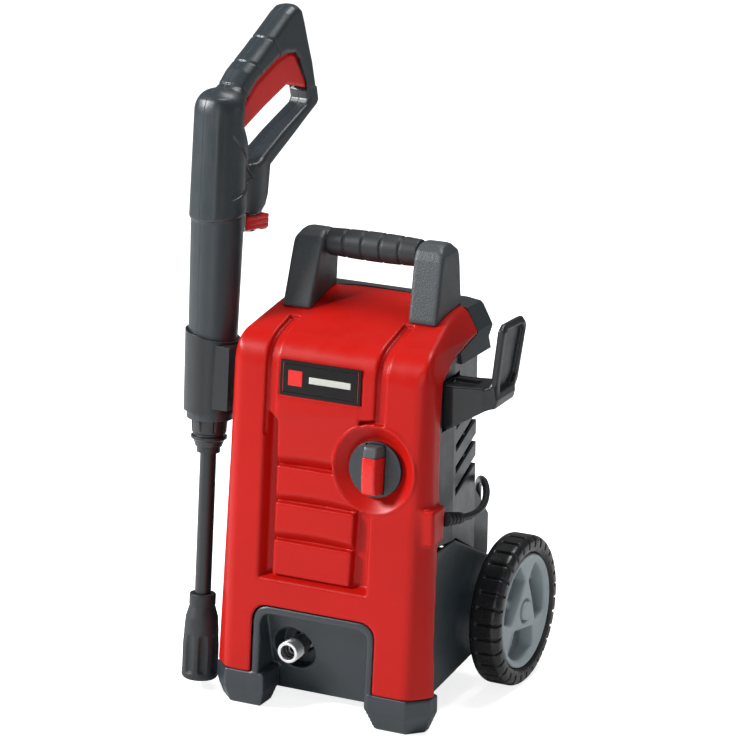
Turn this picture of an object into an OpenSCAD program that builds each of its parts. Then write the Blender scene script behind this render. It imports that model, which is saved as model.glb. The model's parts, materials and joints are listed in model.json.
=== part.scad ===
// Upright mains pressure washer with a docked trigger gun, lance and nozzle.
// Frame: +X to the machine's right, +Y to its back, +Z up, feet on z = 0.

/* [Body] */
// Width of the flat front of the cover
front_w = 194; // [180:1:205]
// Width over the cover's sides at the bottom
body_w = 231; // [222:1:236]
// Height where the cover starts above the floor
cover_z0 = 37; // [34:1:40]
// Height of the bend between front and top
bend_z = 370; // [360:1:375]
// Height of the ridge at the back of the top
ridge_z = 397; // [394:1:402]
// Distance of the ridge behind the feet
ridge_y = 143; // [138:1:148]
// Backward lean of the front, in degrees
lean = 4.75; // [4:0.25:5.5]
// Wall thickness of the plastic shells
wall = 3; // [2.5:0.5:3.5]

/* [Wheels] */
// Outside diameter of the tyres
tyre_d = 150; // [140:1:154]
// Width of a tyre
tyre_w = 32; // [28:1:34]
// Distance of a wheel's outer face from the middle
wheel_x = 141; // [140:1:146]
// Distance of the axle behind the feet
axle_y = 185; // [180:1:190]
// Axle diameter
axle_d = 10; // [8:1:12]

/* [Handle] */
// Diameter of the carrying grip
grip_d = 29; // [26:1:32]
// Clear width between the posts for the hand
hand_w = 98; // [92:1:102]
// Height of the grip's centre line
grip_z = 441; // [436:1:446]

/* [Gun] */
// How far the docked gun's axis is left of the middle
dock_x = 139.5; // [138:0.5:142]
// Diameter of the barrel below the gun's housing
barrel_d = 51; // [49:1:53]
// Thickness of the gun's grip
gun_t = 31; // [28:1:33]
// Diameter of the lance tube
lance_d = 16; // [14:1:18]
// Largest diameter of the nozzle
nozzle_d = 36; // [32:1:38]
// Turn of the docked gun about its own axis, in degrees
gun_turn = 80; // [76:1:84]

/* [Fittings] */
// Thread diameter of the high-pressure outlet
outlet_d = 22; // [20:1:24]
// Thread diameter of the water inlet
inlet_d = 26.4; // [24:0.2:28]
// Diameter of the switch disc
dial_d = 54; // [50:1:56]
// Diameter of the mains cord
cord_d = 7; // [6:0.5:8]

/* [Hidden] */
$fn = 64;

// Colours
red = [0.80, 0.12, 0.10];
dark = [0.24, 0.27, 0.29];
grey_rim = [0.60, 0.64, 0.67];
rubber = [0.09, 0.09, 0.10];
steel = [0.75, 0.76, 0.78];
brass = [0.78, 0.65, 0.35];
copper = [0.72, 0.42, 0.25];

slope = tan(lean);
half_front = front_w / 2;
half_body = body_w / 2;
bend_y = (bend_z - cover_z0) * slope;

// Shift that puts the middle of the whole machine over the origin
mid_x = -5.25;
mid_y = 129.75;
module place() translate([-mid_x, -mid_y, 0]) children();

function front_y(z) = (z - cover_z0) * slope;
function mirrored(points) = concat(points, [for (i = [len(points) - 1:-1:0]) [-points[i][0], points[i][1]]]);
function ring(r, n, a0 = 0) = [for (i = [0:n - 1]) [r * cos(a0 + 360 * i / n), r * sin(a0 + 360 * i / n)]];

// Extrudes a side view (y, z) over the width w, centred
module along_x(w) rotate([90, 0, 90]) linear_extrude(w, center = true) children();
// Extrudes a front view (x, z) from y0 to y1
module along_y(y0, y1) translate([0, y1, 0]) rotate([90, 0, 0]) linear_extrude(y1 - y0) children();
// Frame on the leaning front: x to the right, y up the slope, z out of the face
module on_front() translate([0, 0, cover_z0]) rotate([90 - lean, 0, 0]) children();
function up_front(z) = (z - cover_z0) / cos(lean);

// ---------------------------------------------------------------- front cover
bend_r = 13;
cover_edge = [[143, 365], [91, 355], [54, 339], [49, 303], [44, 220], [27, 94], [24, 37]];

// Side view of the cover, i inside its outer face
module cover_side(i, back) polygon(concat(
    [[i, cover_z0 - i]],
    [for (a = [0:15:75]) [bend_y + i + bend_r * (1 - cos(a)) - 1, bend_z - bend_r - i + bend_r * sin(a)]],
    [[bend_y + 2 * bend_r, bend_z - i + 1], [ridge_y, ridge_z - i]],
    back > 0 ? [[ridge_y + back, ridge_z - i]] : [],
    [[ridge_y + back, cover_z0 - i]]));

// Front view of the cover, i inside its outer face
module cover_front(i) {
    corner_x = 88;
    corner_z = 388;
    crown = ridge_z - corner_z;
    polygon(mirrored(concat(
        [[half_body - i, cover_z0 - i], [107 - i, 250], [105.5 - i, 340], [100 - i, 366 - i * 0.6]],
        [for (k = [6:-1:1]) [corner_x * k / 6, corner_z - i + crown * (1 - pow(k / 6, 2))]])));
}

// Plan view of the leaning front with its 45 degree corners, i inside
module cover_plan(i) polygon(mirrored([[half_front - i * 0.6, i - 2], [half_front - i * 0.6, i],
    [half_front + 22 - i * 0.6, 22 + i * 0.4], [half_front + 22, 240]]));

module cover_solid(i, back = 0) intersection() {
    along_x(260) cover_side(i, back);
    along_y(-20, 200) cover_front(i);
    translate([0, 0, cover_z0 - 30]) rotate([-lean, 0, 0]) translate([0, -30 * slope, 0])
        linear_extrude(430) cover_plan(i);
}

// Shallow recess of the front with a ribbed block in it, grown by g
recess_l = -66;
recess_r = 50;
recess_z0 = 132;
recess_z1 = 303;
recess_deep = 12;
module recess_cut(g = 0) on_front() translate([0, 0, -recess_deep - g]) linear_extrude(recess_deep + 30 + g)
    polygon([[recess_l - g, up_front(recess_z0) - g], [recess_r + g, up_front(recess_z0) - g],
        [recess_r + g, up_front(recess_z1) + g], [recess_r - 10 + g, up_front(recess_z1 - 12) + g],
        [recess_l + 14 - g, up_front(recess_z1 - 24) + g], [recess_l - g, up_front(recess_z1 - 10) + g]]);

// Two grooves that climb from the recess over the bend on to the top
groove_w = 11;
groove_deep = 4;
module grooves(g = 0) for (x = [recess_l + 5, recess_r + 4]) {
    on_front() translate([x - groove_w / 2 - g, up_front(recess_z1) - 25, -groove_deep - g])
        cube([groove_w + 2 * g, up_front(bend_z) - up_front(recess_z1) + 60, 30]);
    translate([x - groove_w / 2 - g, bend_y + 2 * bend_r, bend_z + 1])
        rotate([atan((ridge_z - bend_z - 1) / (ridge_y - bend_y - 2 * bend_r)), 0, 0])
        translate([0, -26, -groove_deep - g]) cube([groove_w + 2 * g, 48 + g, 30]);
}

dial_x = 51;
dial_z = 255;
dial_deep = 9;
funnel_d = 82;
module at_dial() on_front() translate([dial_x, up_front(dial_z), 0]) children();

module front_cover() color(red) difference() {
    union() {
        difference() {
            cover_solid(0);
            difference() {
                cover_solid(wall, 30);
                recess_cut(wall);
                grooves(wall);
                at_dial() translate([0, 0, -dial_deep - wall]) cylinder(d = funnel_d + 2 * wall, h = 40);
            }
            difference() {
                recess_cut();
                at_dial() translate([0, 0, -40]) cylinder(d = funnel_d, h = 60);
            }
            grooves();
        }
        // boss on the right side that the cord comes out of
        translate([100, 22, 190]) cube([14, 25, 32]);
        // ribbed block in the recess
        on_front() translate([-52, up_front(137), -recess_deep - 1]) difference() {
            cube([81, up_front(recess_z1 - 30) - up_front(137), 9]);
            for (z = [30, 67, 104]) translate([-1, z, 9]) rotate([45, 0, 0]) cube([83, 6, 6]);
        }
    }
    // open back, cut along the edge of the rear shell
    along_x(270) polygon(concat([[200, 500], [ridge_y, 500]], cover_edge, [[24, 0], [200, 0]]));
    // funnel and bore of the switch
    at_dial() translate([0, 0, -dial_deep]) cylinder(d1 = dial_d + 1.6, d2 = funnel_d - 5, h = dial_deep + 0.01);
    at_dial() translate([0, 0, -30]) cylinder(d = 12, h = 60);
    // opening in front of the base panel
    translate([-70, -5, 0]) cube([130, 60, 105]);
    // pocket of the badge
    on_front() translate([-51, up_front(314), -0.8]) cube([86, 35, 5]);
    // screw holes of the handle
    for (x = screw_x, y = screw_y) translate([x, y, 340]) cylinder(d = 4.2, h = 80);
}

// ---------------------------------------------------------------- base chassis
outlet_x = -36;
outlet_z = 58;
outlet_y = 13;
panel_top = 103;
module foot(side) mirror([side < 0 ? 1 : 0, 0, 0]) {
    // tapered shoe, then the leg that carries the cover
    hull() {
        translate([61, 0.5, 0]) cube([32, 26, 0.1]);
        translate([93, 8, 0]) cube([14, 14, 0.1]);
        translate([61, -0.5, 15]) cube([36, 34, 1]);
        translate([97, 7, 15]) cube([17, 24, 1]);
    }
    translate([0, 0, 16]) linear_extrude(cover_z0 - 17.3)
        polygon([[61, -0.5], [97, -0.5], [114.5, 17], [114.5, 34], [61, 34]]);
}

module base_chassis() color(dark) difference() {
    union() {
        for (side = [-1, 1]) foot(side);
        // legs run up behind the cover
        for (x = [-69.8, 48.2]) translate([x, 6, 20]) cube([11.6, 32, 82]);
        // recessed panel, further back at its foot
        along_x(120) polygon([[26, 104], [31, 104], [46, 24], [40, 24]]);
        translate([-66, 10, 99]) cube([124, 20, 4]);
        // tub: floor, sides and back
        along_x(200) polygon([[30, 24], [44, 24], [190, 40], [196, 48], [196, 52], [44, 28]]);
        for (x = [-100, 97]) translate([x + 1.5, 0, 0]) along_x(3)
            polygon([[30, 24], [44, 24], [190, 40], [196, 48], [196, 122], [100, 170], [30, 170]]);
        translate([-100, 193, 44]) cube([200, 3, 78]);
        // axle bosses
        for (x = [-106, 88]) translate([x, axle_y, tyre_d / 2]) rotate([0, 90, 0]) cylinder(d = 24, h = 18);
        // motor cradle
        translate([0, 112, 44]) difference() {
            cylinder(r = 50, h = 8);
            translate([0, 0, -1]) cylinder(r = 36, h = 10);
        }
    }
    // axle bore, outlet pocket and outlet bore
    translate([-120, axle_y, tyre_d / 2]) rotate([0, 90, 0]) cylinder(d = axle_d + 0.1, h = 240);
    translate([outlet_x, 0, outlet_z]) rotate([-90, 0, 0]) cylinder(d = 44, h = 34);
    translate([outlet_x, 0, outlet_z]) rotate([-90, 0, 0]) cylinder(d = 20, h = 80);
    translate([inlet_x, 180, inlet_z]) rotate([-90, 0, 0]) cylinder(d = 24.1, h = 30);
}

// ---------------------------------------------------------------- rear shell
rear_half = 102;
rear_corner = 90;
cap_y = 177;
module rear_side(i) polygon([[46, 176], [100, 171], [196, 123], [198 - i, 126], [198 - i, 165 - i], [165 - i, 200 - i],
    [165 - i, 356 + i], [cap_y - i, 364 + i * 0.5], [cap_y - i, 384 - i], [cap_y - 4 - i, ridge_z - 7 - i],
    [ridge_y + 0.4, ridge_z - 1 - i], [ridge_y + 0.4, 364], [91, 354], [54.4, 338], [49.4, 303], [45, 220]]);
// The same view, run on to the front and the bottom where the shell is open
module rear_hollow() polygon([[0, 80], [198 - wall, 80], [198 - wall, 165 - wall], [165 - wall, 200 - wall],
    [165 - wall, 356 + wall], [cap_y - wall, 365], [cap_y - wall, 384 - wall], [cap_y - 4 - wall, ridge_z - 7 - wall],
    [ridge_y, ridge_z - 1 - wall], [0, ridge_z - 1 - wall]]);
module rear_plan(i) polygon(mirrored([[rear_half - i, 20], [rear_half - i, 88], [rear_corner - i, 165], [rear_corner - i, 240]]));
module rear_solid(i) {
    intersection() {
        along_x(260) rear_side(i);
        linear_extrude(358) rear_plan(i);
    }
    intersection() {
        along_x(260) rear_side(i);
        along_y(100, 240) cover_front(i + 0.5);
        translate([-130, 40, 345]) cube([260, 200, 80]);
    }
}
module rear_space() {
    intersection() {
        along_x(260) rear_hollow();
        linear_extrude(360) rear_plan(wall);
    }
    intersection() {
        along_x(260) rear_hollow();
        along_y(-20, 240) cover_front(wall + 0.5);
        translate([-130, 0, 359]) cube([260, 240, 80]);
    }
}
slot_rise = 10;
module louvres() for (i = [0:3], side = [-1, 1])
    translate([side * 96, 96, 214 + i * 22.2]) rotate([slot_rise, 0, 0]) translate([-18, 0, 0]) cube([36, 74, 8]);

inlet_x = 30;
inlet_z = 96;
module rear_shell() color(dark) difference() {
    rear_solid(0);
    rear_space();
    cover_screw_spots() translate([0, 0, -5]) cylinder(d = 7.1, h = 10);
    intersection() {
        louvres();
        translate([-130, 92, 200]) cube([260, 90, 100]);
    }
    // pocket that takes the hook
    translate([93.5, 60, 288]) cube([20, 44, 50]);
}

// ---------------------------------------------------------------- handle
screw_x = [-74, 74];
screw_y = [104, 130];
post_x0 = hand_w / 2;
post_x1 = 81;
grip_y = 124;
module handle_side() hull() {
    translate([87.5, 370]) square([58, 1]);
    translate([125, 434.5]) circle(r = 19);
}
module carry_handle() color(dark) difference() {
    union() {
        for (side = [-1, 1]) mirror([side < 0 ? 1 : 0, 0, 0]) intersection() {
            along_x(200) handle_side();
            along_y(60, 170) polygon([[post_x0 + 5, 366], [post_x0 - 0.5, 440], [post_x0, 457], [post_x1 - 12, 457],
                [post_x1 - 5, 452], [post_x1 - 1.5, 444], [post_x1 + 1, 380], [post_x1 + 1, 366]]);
        }
        translate([-post_x0 - 4, grip_y, grip_z]) rotate([0, 90, 0]) cylinder(d = grip_d - 8, h = hand_w + 8);
    }
    cover_solid(-0.1, 0.3);
    rear_solid(-0.1);
    // screw bosses
    for (x = screw_x, y = screw_y) translate([x, y, 340]) cylinder(d = 4.1, h = 82);
}

module grip_sleeve() color(rubber) translate([0, grip_y, grip_z]) rotate([0, 90, 0]) rotate_extrude()
    polygon(concat([[(grip_d - 7.8) / 2, post_x0 - 0.8], [(grip_d - 7.8) / 2, -post_x0 + 0.8]],
        [for (i = [-4:0]) each let (x = -hand_w / 2 + hand_w / 5 * (i + 4)) [
            [grip_d / 2 - 1.2, x + (i == -4 ? 0.8 : 0)], [grip_d / 2, x + 1.8],
            [grip_d / 2, x + hand_w / 5 - 1.8], [grip_d / 2 - 1.2, x + hand_w / 5 - (i == 0 ? 0.8 : 0.01)]]]));

module handle_screws() color(steel) for (x = screw_x, y = screw_y) translate([x, y, 0]) {
    top = bend_z + (y - bend_y - 26) * (ridge_z - bend_z) / (ridge_y - bend_y - 26);
    translate([0, 0, top - 8]) cylinder(d = 4, h = 28);
    translate([0, 0, top - 11]) cylinder(d = 8, h = 3);
}

module badge_plate() color([0.05, 0.05, 0.05]) on_front() translate([-50.5, up_front(314) + 0.5, -0.8])
    difference() {
        cube([85, 34, 1.6]);
        translate([3, 3, 1.2]) difference() {
            cube([79, 28, 1]);
            translate([0.8, 0.8, -1]) cube([77.4, 26.4, 3]);
        }
    }

// ---------------------------------------------------------------- hook, holder
module hose_hook() color(dark) difference() {
    union() {
        // arm out of the side
        intersection() {
            along_y(50, 130) polygon([[94, 291], [121, 291], [130, 297], [148, 304], [153, 316], [148, 334], [94, 334]]);
            translate([0, 0, 280]) linear_extrude(70) polygon([[94, 62], [112, 62], [148, 72], [156, 72], [156, 112], [112, 102], [94, 102]]);
        }
        // upright with a dished outer face
        intersection() {
            along_y(60, 140) polygon([[141, 296], [149, 300], [156.5, 390], [154, 395], [150, 395], [145, 334]]);
            along_x(400) polygon([[70, 300], [118, 312], [127, 330], [131, 384], [124, 393], [84, 396], [76, 390]]);
        }
    }
    // dish
    intersection() {
        translate([3.2, 0, 0]) along_y(60, 140) polygon([[144, 318], [149, 318], [160, 388], [148, 386]]);
        along_x(400) polygon([[80, 322], [114, 324], [121, 334], [125, 380], [120, 386], [88, 388], [80, 382]]);
    }
    // hollow of the arm
    translate([88, 68, 296]) cube([44, 28, 30]);
}

dock_y0 = 25.8;
dock_z0 = 10;
module on_dock() translate([-dock_x, dock_y0, dock_z0]) rotate([-lean, 0, 0]) children();
module on_gun() on_dock() rotate([0, 0, gun_turn]) children();

barrel_w0 = 262;
barrel_w1 = 458;
barrel_r0 = 22.6;
sleeve_w0 = 270;
sleeve_w1 = 352;
function barrel_r(w) = barrel_r0 + (barrel_d / 2 - barrel_r0) * (w - barrel_w0) / (barrel_w1 - barrel_w0);
module gun_holder() color(dark) {
    on_dock() difference() {
        union() {
            translate([0, 0, sleeve_w0]) cylinder(r1 = barrel_r(sleeve_w0) + 3, r2 = barrel_r(sleeve_w1) + 3, h = sleeve_w1 - sleeve_w0);
            translate([12, -22, 276]) cube([18, 34, 62]);
        }
        translate([0, 0, sleeve_w0 - 0.01]) cylinder(r1 = barrel_r(sleeve_w0) + 0.4, r2 = barrel_r(sleeve_w1) + 0.4, h = sleeve_w1 - sleeve_w0 + 0.02);
        // slanted rim
        translate([-40, -40, sleeve_w1 - 13]) rotate([0, 10, 0]) translate([0, 0, 13]) cube([100, 80, 30]);
        // clear of the cover's side
        on_dock_inverse() cover_solid(-0.02);
    }
}
module on_dock_inverse() rotate([lean, 0, 0]) translate([dock_x, -dock_y0, -dock_z0]) children();

module cover_screw_spots() for (x = [-72, 72], z = [150, 330])
    translate([x, z < 200 ? 195 : 162, z]) rotate([-90, 0, 0]) children();
module cover_screws() color(steel) cover_screw_spots() difference() {
    cylinder(d = 7, h = 3.5);
    translate([0, 0, 2]) cylinder(d = 2.6, h = 2, $fn = 6);
}

// ---------------------------------------------------------------- water side
module outlet_fitting() color(steel) translate([outlet_x, outlet_y, outlet_z]) rotate([-90, 0, 0]) difference() {
    union() {
        cylinder(d = outlet_d, h = 15);
        translate([0, 0, 15]) cylinder(d = 19.8, h = 15);
    }
    translate([0, 0, -1]) cylinder(d = 15, h = 14);
    cylinder(d = 9, h = 60);
}
module outlet_seal() color(rubber) translate([outlet_x, outlet_y + 9, outlet_z]) rotate([-90, 0, 0])
    rotate_extrude() translate([6.2, 0]) circle(r = 1.3);
module outlet_pipe() color(brass) translate([outlet_x, outlet_y + 30, outlet_z]) rotate([-90, 0, 0]) difference() {
    cylinder(d = 14, h = 12);
    translate([0, 0, -1]) cylinder(d = 8, h = 14);
}
module inlet_fitting() color(brass) translate([inlet_x, 193, inlet_z]) rotate([-90, 0, 0]) difference() {
    union() {
        translate([0, 0, -28]) cylinder(d = 18, h = 28);
        translate([0, 0, 3]) cylinder(d = 34, h = 5, $fn = 6);
        translate([0, 0, -1]) cylinder(d = 24, h = 5);
        translate([0, 0, 8]) cylinder(d = inlet_d, h = 15);
    }
    translate([0, 0, -29]) cylinder(d = 11, h = 60);
    translate([0, 0, 8]) cylinder(d = 17, h = 20);
}
module inlet_filter() color([0.85, 0.85, 0.8]) translate([inlet_x, 202, inlet_z]) rotate([-90, 0, 0]) {
    difference() {
        cylinder(d1 = 12, d2 = 16.8, h = 12);
        translate([0, 0, 1]) cylinder(d1 = 10, d2 = 15, h = 12);
    }
}
module inlet_pipe() color(rubber) translate([inlet_x, 140, inlet_z]) rotate([-90, 0, 0]) difference() {
    cylinder(d = 24, h = 45);
    translate([0, 0, -1]) cylinder(d = 14, h = 47);
    translate([0, 0, 24.5]) cylinder(d = 18, h = 30);
}

// ---------------------------------------------------------------- motor and pump
motor_x = 0;
motor_y = 112;
module at_motor(z) translate([motor_x, motor_y, z]) children();
module motor_can() color(steel) at_motor(182) difference() {
    cylinder(r = 43, h = 122);
    translate([0, 0, 3]) cylinder(r = 40.5, h = 114);
    translate([0, 0, -1]) cylinder(r = 11, h = 140);
    for (a = [30:60:330]) rotate([0, 0, a]) translate([30, 0, -1]) cylinder(r = 6, h = 140);
}
module motor_stator() color([0.35, 0.36, 0.38]) at_motor(205) difference() {
    cylinder(r = 40.5, h = 60);
    translate([0, 0, -1]) cylinder(r = 23.6, h = 62);
    for (side = [-1, 1]) translate([side * 30, 0, -1]) cylinder(r = 7, h = 62);
}
module field_coils() color(copper) at_motor(196) for (side = [-1, 1]) translate([side * 30, 0, 0])
    cylinder(r = 7, h = 78);
module brush_holders() color(brass) at_motor(281) for (side = [-1, 1]) translate([side * 26.9 - 13, -5, 0])
    difference() {
        cube([26, 10, 10]);
        translate([side > 0 ? -0.1 : 13.1, 2, 2]) cube([13, 6, 6]);
    }
module motor_bearings() color(steel) for (z = [176, 305]) at_motor(z) difference() {
    cylinder(r = 11, h = 8);
    translate([0, 0, -1]) cylinder(r = 4.05, h = 10);
    for (e = [-1, 7]) translate([0, 0, e]) difference() {
        cylinder(r = 9, h = 2);
        cylinder(r = 6.5, h = 2);
    }
}
gear_n1 = 14;
gear_n2 = 42;
gear_m = 1.25;
gear_gap = 0.35;
pressure = 25;
gear_dist = gear_m * (gear_n1 + gear_n2) / 2;
function inv(a) = tan(a) * 180 / PI - a;
function flank(r, n) = let (rb = gear_m * n / 2 * cos(pressure), a = r <= rb ? 0 : acos(rb / r))
    90 / n - gear_gap * 45 / (gear_m * n) + inv(pressure) - inv(a);
module gear_outline(n, a0) {
    rp = gear_m * n / 2;
    radii = [rp - 1.25 * gear_m, rp * 0.965, rp, rp + 0.5 * gear_m, rp + 0.9 * gear_m];
    polygon([for (i = [0:n - 1]) each concat(
        [for (r = radii) [r * cos(a0 + 360 * i / n - flank(r, n)), r * sin(a0 + 360 * i / n - flank(r, n))]],
        [for (k = [4:-1:0]) let (r = radii[k]) [r * cos(a0 + 360 * i / n + flank(r, n)), r * sin(a0 + 360 * i / n + flank(r, n))]])]);
}
gear_z = 152;
pump_axis_y = motor_y - gear_dist;
module at_pump(z) translate([motor_x, pump_axis_y, z]) children();
module gearbox_housing() color([0.62, 0.63, 0.65]) difference() {
    union() {
        at_motor(146) cylinder(r = 43, h = 36);
        at_pump(146) cylinder(r = 38, h = 30);
        at_pump(112) cylinder(r = 36, h = 34);
    }
    at_motor(150) cylinder(r = 12.5, h = 24);
    at_motor(173) cylinder(r = 11, h = 12);
    at_pump(150) cylinder(r = 30.5, h = 20);
    at_pump(111) cylinder(r = 31, h = 42);
}
module rotor_shaft() color(steel) {
    at_motor(152) cylinder(r = 4, h = 172);
    at_motor(gear_z) linear_extrude(12) difference() {
        gear_outline(gear_n1, -90);
        circle(r = 3.99);
    }
    color(copper) at_motor(207) cylinder(r = 22.8, h = 56);
    color(copper) at_motor(280) cylinder(r = 13, h = 14);
}
module cooling_fan() color(dark) at_motor(326) {
    difference() {
        union() {
            translate([0, 0, -10]) cylinder(r = 9, h = 12);
            cylinder(r = 36, h = 2);
            for (a = [0:30:330]) rotate([0, 0, a]) translate([10, -0.8, -8]) cube([25, 1.6, 9]);
        }
        translate([0, 0, -11]) cylinder(r = 4.01, h = 9);
    }
}
wobble_tilt = 8;
module wobble_gear() color(steel) {
    at_pump(gear_z + 0.5) linear_extrude(11) difference() {
        gear_outline(gear_n2, 90 + 180 / gear_n2);
        circle(r = 5);
    }
    at_pump(136) cylinder(r = 5.01, h = 32);
    at_pump(132) difference() {
        cylinder(r = 25, h = 14);
        rotate([wobble_tilt, 0, 0]) translate([-40, -40, -20]) cube([80, 80, 21]);
    }
}
pump_r = 16;
module pump_spots() for (a = [90, 210, 330]) rotate([0, 0, a]) translate([pump_r, 0, 0]) children();
module pump_head() color(brass) difference() {
    union() {
        at_pump(54) cylinder(r = 32, h = 57.5);
        translate([outlet_x, outlet_y + 42.2, outlet_z]) rotate([-90, 0, 0]) cylinder(d = 18, h = 14);
        translate([inlet_x, 100, inlet_z]) rotate([-90, 0, 0]) cylinder(d = 20, h = 39.8);
    }
    at_pump(84) pump_spots() cylinder(r = 6.05, h = 40);
    at_pump(60) pump_spots() cylinder(r = 5.05, h = 21);
    translate([outlet_x, outlet_y + 40, outlet_z]) rotate([-90, 0, 0]) cylinder(d = 8, h = 22);
    translate([-34, 100, 100]) rotate([0, 90, 0]) cylinder(r = 7.05, h = 14.1);
    translate([inlet_x, 105, inlet_z]) rotate([-90, 0, 0]) cylinder(d = 12, h = 42);
}
module pump_seals() color(rubber) at_pump(0) pump_spots() for (z = [98, 106]) translate([0, 0, z]) difference() {
    cylinder(r = 6, h = 2);
    translate([0, 0, -1]) cylinder(r = 5, h = 4);
}
module pistons() color(steel) at_pump(86) pump_spots() {
    cylinder(r = 5, h = 34);
    translate([0, 0, 34]) cylinder(r = 7, h = 3);
    translate([0, 0, 4]) difference() {
        cylinder(r = 5.9, h = 6);
        cylinder(r = 4.99, h = 6);
    }
}
module piston_springs() color(steel) at_pump(0) pump_spots() for (i = [0:3])
    translate([0, 0, 112.6 + i * 2.1]) rotate_extrude() translate([6, 0]) circle(r = 0.75);
module check_valves() color(steel) at_pump(0) pump_spots() for (z = [62, 72]) translate([0, 0, z]) {
    cylinder(r = 5, h = 3);
    translate([0, 0, 3]) cylinder(r1 = 3.5, r2 = 1.5, h = 3);
}
module unloader_valve() color(brass) translate([-34, 100, 100]) rotate([0, 90, 0]) {
    cylinder(r = 7, h = 14);
    translate([0, 0, -14]) cylinder(r = 8.5, h = 14, $fn = 6);
}
module flow_switch() color([0.1, 0.1, 0.1]) translate([-66, 92, 88]) {
    cube([17.9, 20, 26]);
    translate([2, 4, 26]) cube([4, 1, 7]);
    translate([10, 4, 26]) cube([4, 1, 7]);
}
module rotary_switch() color([0.15, 0.15, 0.16]) at_dial() translate([0, 0, -dial_deep - 2 * wall - 0.3]) {
    difference() {
        translate([-20, -22, -30]) cube([40, 44, 30]);
        translate([0, 0, -16]) cylinder(d = 8.1, h = 20);
    }
    for (x = [-12, 0, 12]) translate([x - 2, -16, -36]) cube([4, 1, 6]);
}
module noise_capacitor() color([0.85, 0.8, 0.55]) translate([-70, 70, 225]) {
    cube([22, 14, 30]);
    for (x = [5, 16]) translate([x, 7, -6]) cylinder(r = 0.6, h = 6);
}

// Tube of radius r along smooth points, as one closed solid
function unit(v) = v / norm(v);
function spline(p, t) = let (n = len(p), s = min(floor(t), n - 2), u = t - s,
        a = p[max(s - 1, 0)], b = p[s], c = p[s + 1], d = p[min(s + 2, n - 1)])
    0.5 * (2 * b + u * (c - a) + u * u * (2 * a - 5 * b + 4 * c - d) + u * u * u * (3 * b - a - 3 * c + d));
function frames(c, i, side) = i >= len(c) ? [] :
    let (t = unit(i == 0 ? c[1] - c[0] : i == len(c) - 1 ? c[i] - c[i - 1] : c[i + 1] - c[i - 1]),
        s = unit(side - (side * t) * t))
    concat([[s, cross(t, s)]], frames(c, i + 1, s));
module tube(points, r, steps, sides, first) {
    c = [for (i = [0:steps]) spline(points, (len(points) - 1) * i / steps)];
    f = frames(c, 0, first);
    n = len(c);
    polyhedron(
        points = [for (i = [0:n - 1], k = [0:sides - 1])
            c[i] + r * (cos(360 * k / sides) * f[i][0] + sin(360 * k / sides) * f[i][1])],
        faces = concat(
            [for (i = [0:n - 2], k = [0:sides - 1])
                [i * sides + k, i * sides + (k + 1) % sides, (i + 1) * sides + (k + 1) % sides, (i + 1) * sides + k]],
            [[for (k = [sides - 1:-1:0]) k]],
            [[for (k = [0:sides - 1]) (n - 1) * sides + k]]));
}
module inner_wires() {
    color([0.45, 0.25, 0.12]) tube([[88, 60, 205], [84, 68, 214], [76, 74, 226], [63, 70, 236]], 1.6, 12, 8, [0, 0, 1]);
    color([0.1, 0.2, 0.6]) tube([[88, 64, 201], [80, 75, 206], [60, 80, 218], [39, 70, 236]], 1.6, 12, 8, [0, 0, 1]);
}

// ---------------------------------------------------------------- wheels
module axle() color(steel) translate([0, axle_y, tyre_d / 2]) rotate([0, 90, 0])
    cylinder(d = axle_d, h = 2 * wheel_x - 14, center = true);
module axle_clips() color(steel) for (side = [-1, 1]) translate([side * (wheel_x - tyre_w / 2 + 7), axle_y, tyre_d / 2])
    rotate([0, 90, 0]) difference() {
        cylinder(d = 15, h = 1.2, center = true);
        cylinder(d = axle_d - 0.01, h = 3, center = true);
    }
module on_wheel(side) translate([side * (wheel_x - tyre_w / 2), axle_y, tyre_d / 2]) rotate([0, side * 90, 0]) children();
rim_d = 114;
lugs = 30;
module tyre(side) color(rubber) on_wheel(side) difference() {
    rotate_extrude() polygon([[rim_d / 2, -tyre_w / 2 + 2], [66, -tyre_w / 2], [72.5, -tyre_w / 2 + 3], [tyre_d / 2, -tyre_w / 2 + 7],
        [tyre_d / 2, tyre_w / 2 - 7], [72.5, tyre_w / 2 - 3], [66, tyre_w / 2], [rim_d / 2, tyre_w / 2 - 2]]);
    for (i = [0:lugs - 1]) rotate([0, 0, i * 360 / lugs]) translate([tyre_d / 2 - 2, -1.2, -tyre_w / 2 + 8])
        cube([6, 2.4, tyre_w - 4]);
}
module rim(side) color(grey_rim) on_wheel(side) difference() {
    union() {
        rotate_extrude() polygon([[axle_d / 2 + 0.05, -tyre_w / 2 + 1], [16, -tyre_w / 2 + 1], [16, -4], [rim_d / 2 - 4, -4],
            [rim_d / 2 - 4, -tyre_w / 2 + 3], [rim_d / 2 - 0.02, -tyre_w / 2 + 3], [rim_d / 2 - 0.02, tyre_w / 2 - 2.5],
            [rim_d / 2 - 3, tyre_w / 2 - 1.5], [30, tyre_w / 2 - 1], [12, tyre_w / 2], [8, tyre_w / 2], [8, 6], [axle_d / 2 + 0.05, 6]]);
        translate([0, 0, tyre_w / 2 - 2.6]) cylinder(r = 8.5, h = 2.6);
    }
    for (a = [0, 120, 240]) rotate([0, 0, a + side * 20]) translate([0, 0, -1])
        linear_extrude(40) polygon([[20, 0], [44, -24], [50, -13], [51, 0], [50, 13], [44, 24]]);
}

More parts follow.
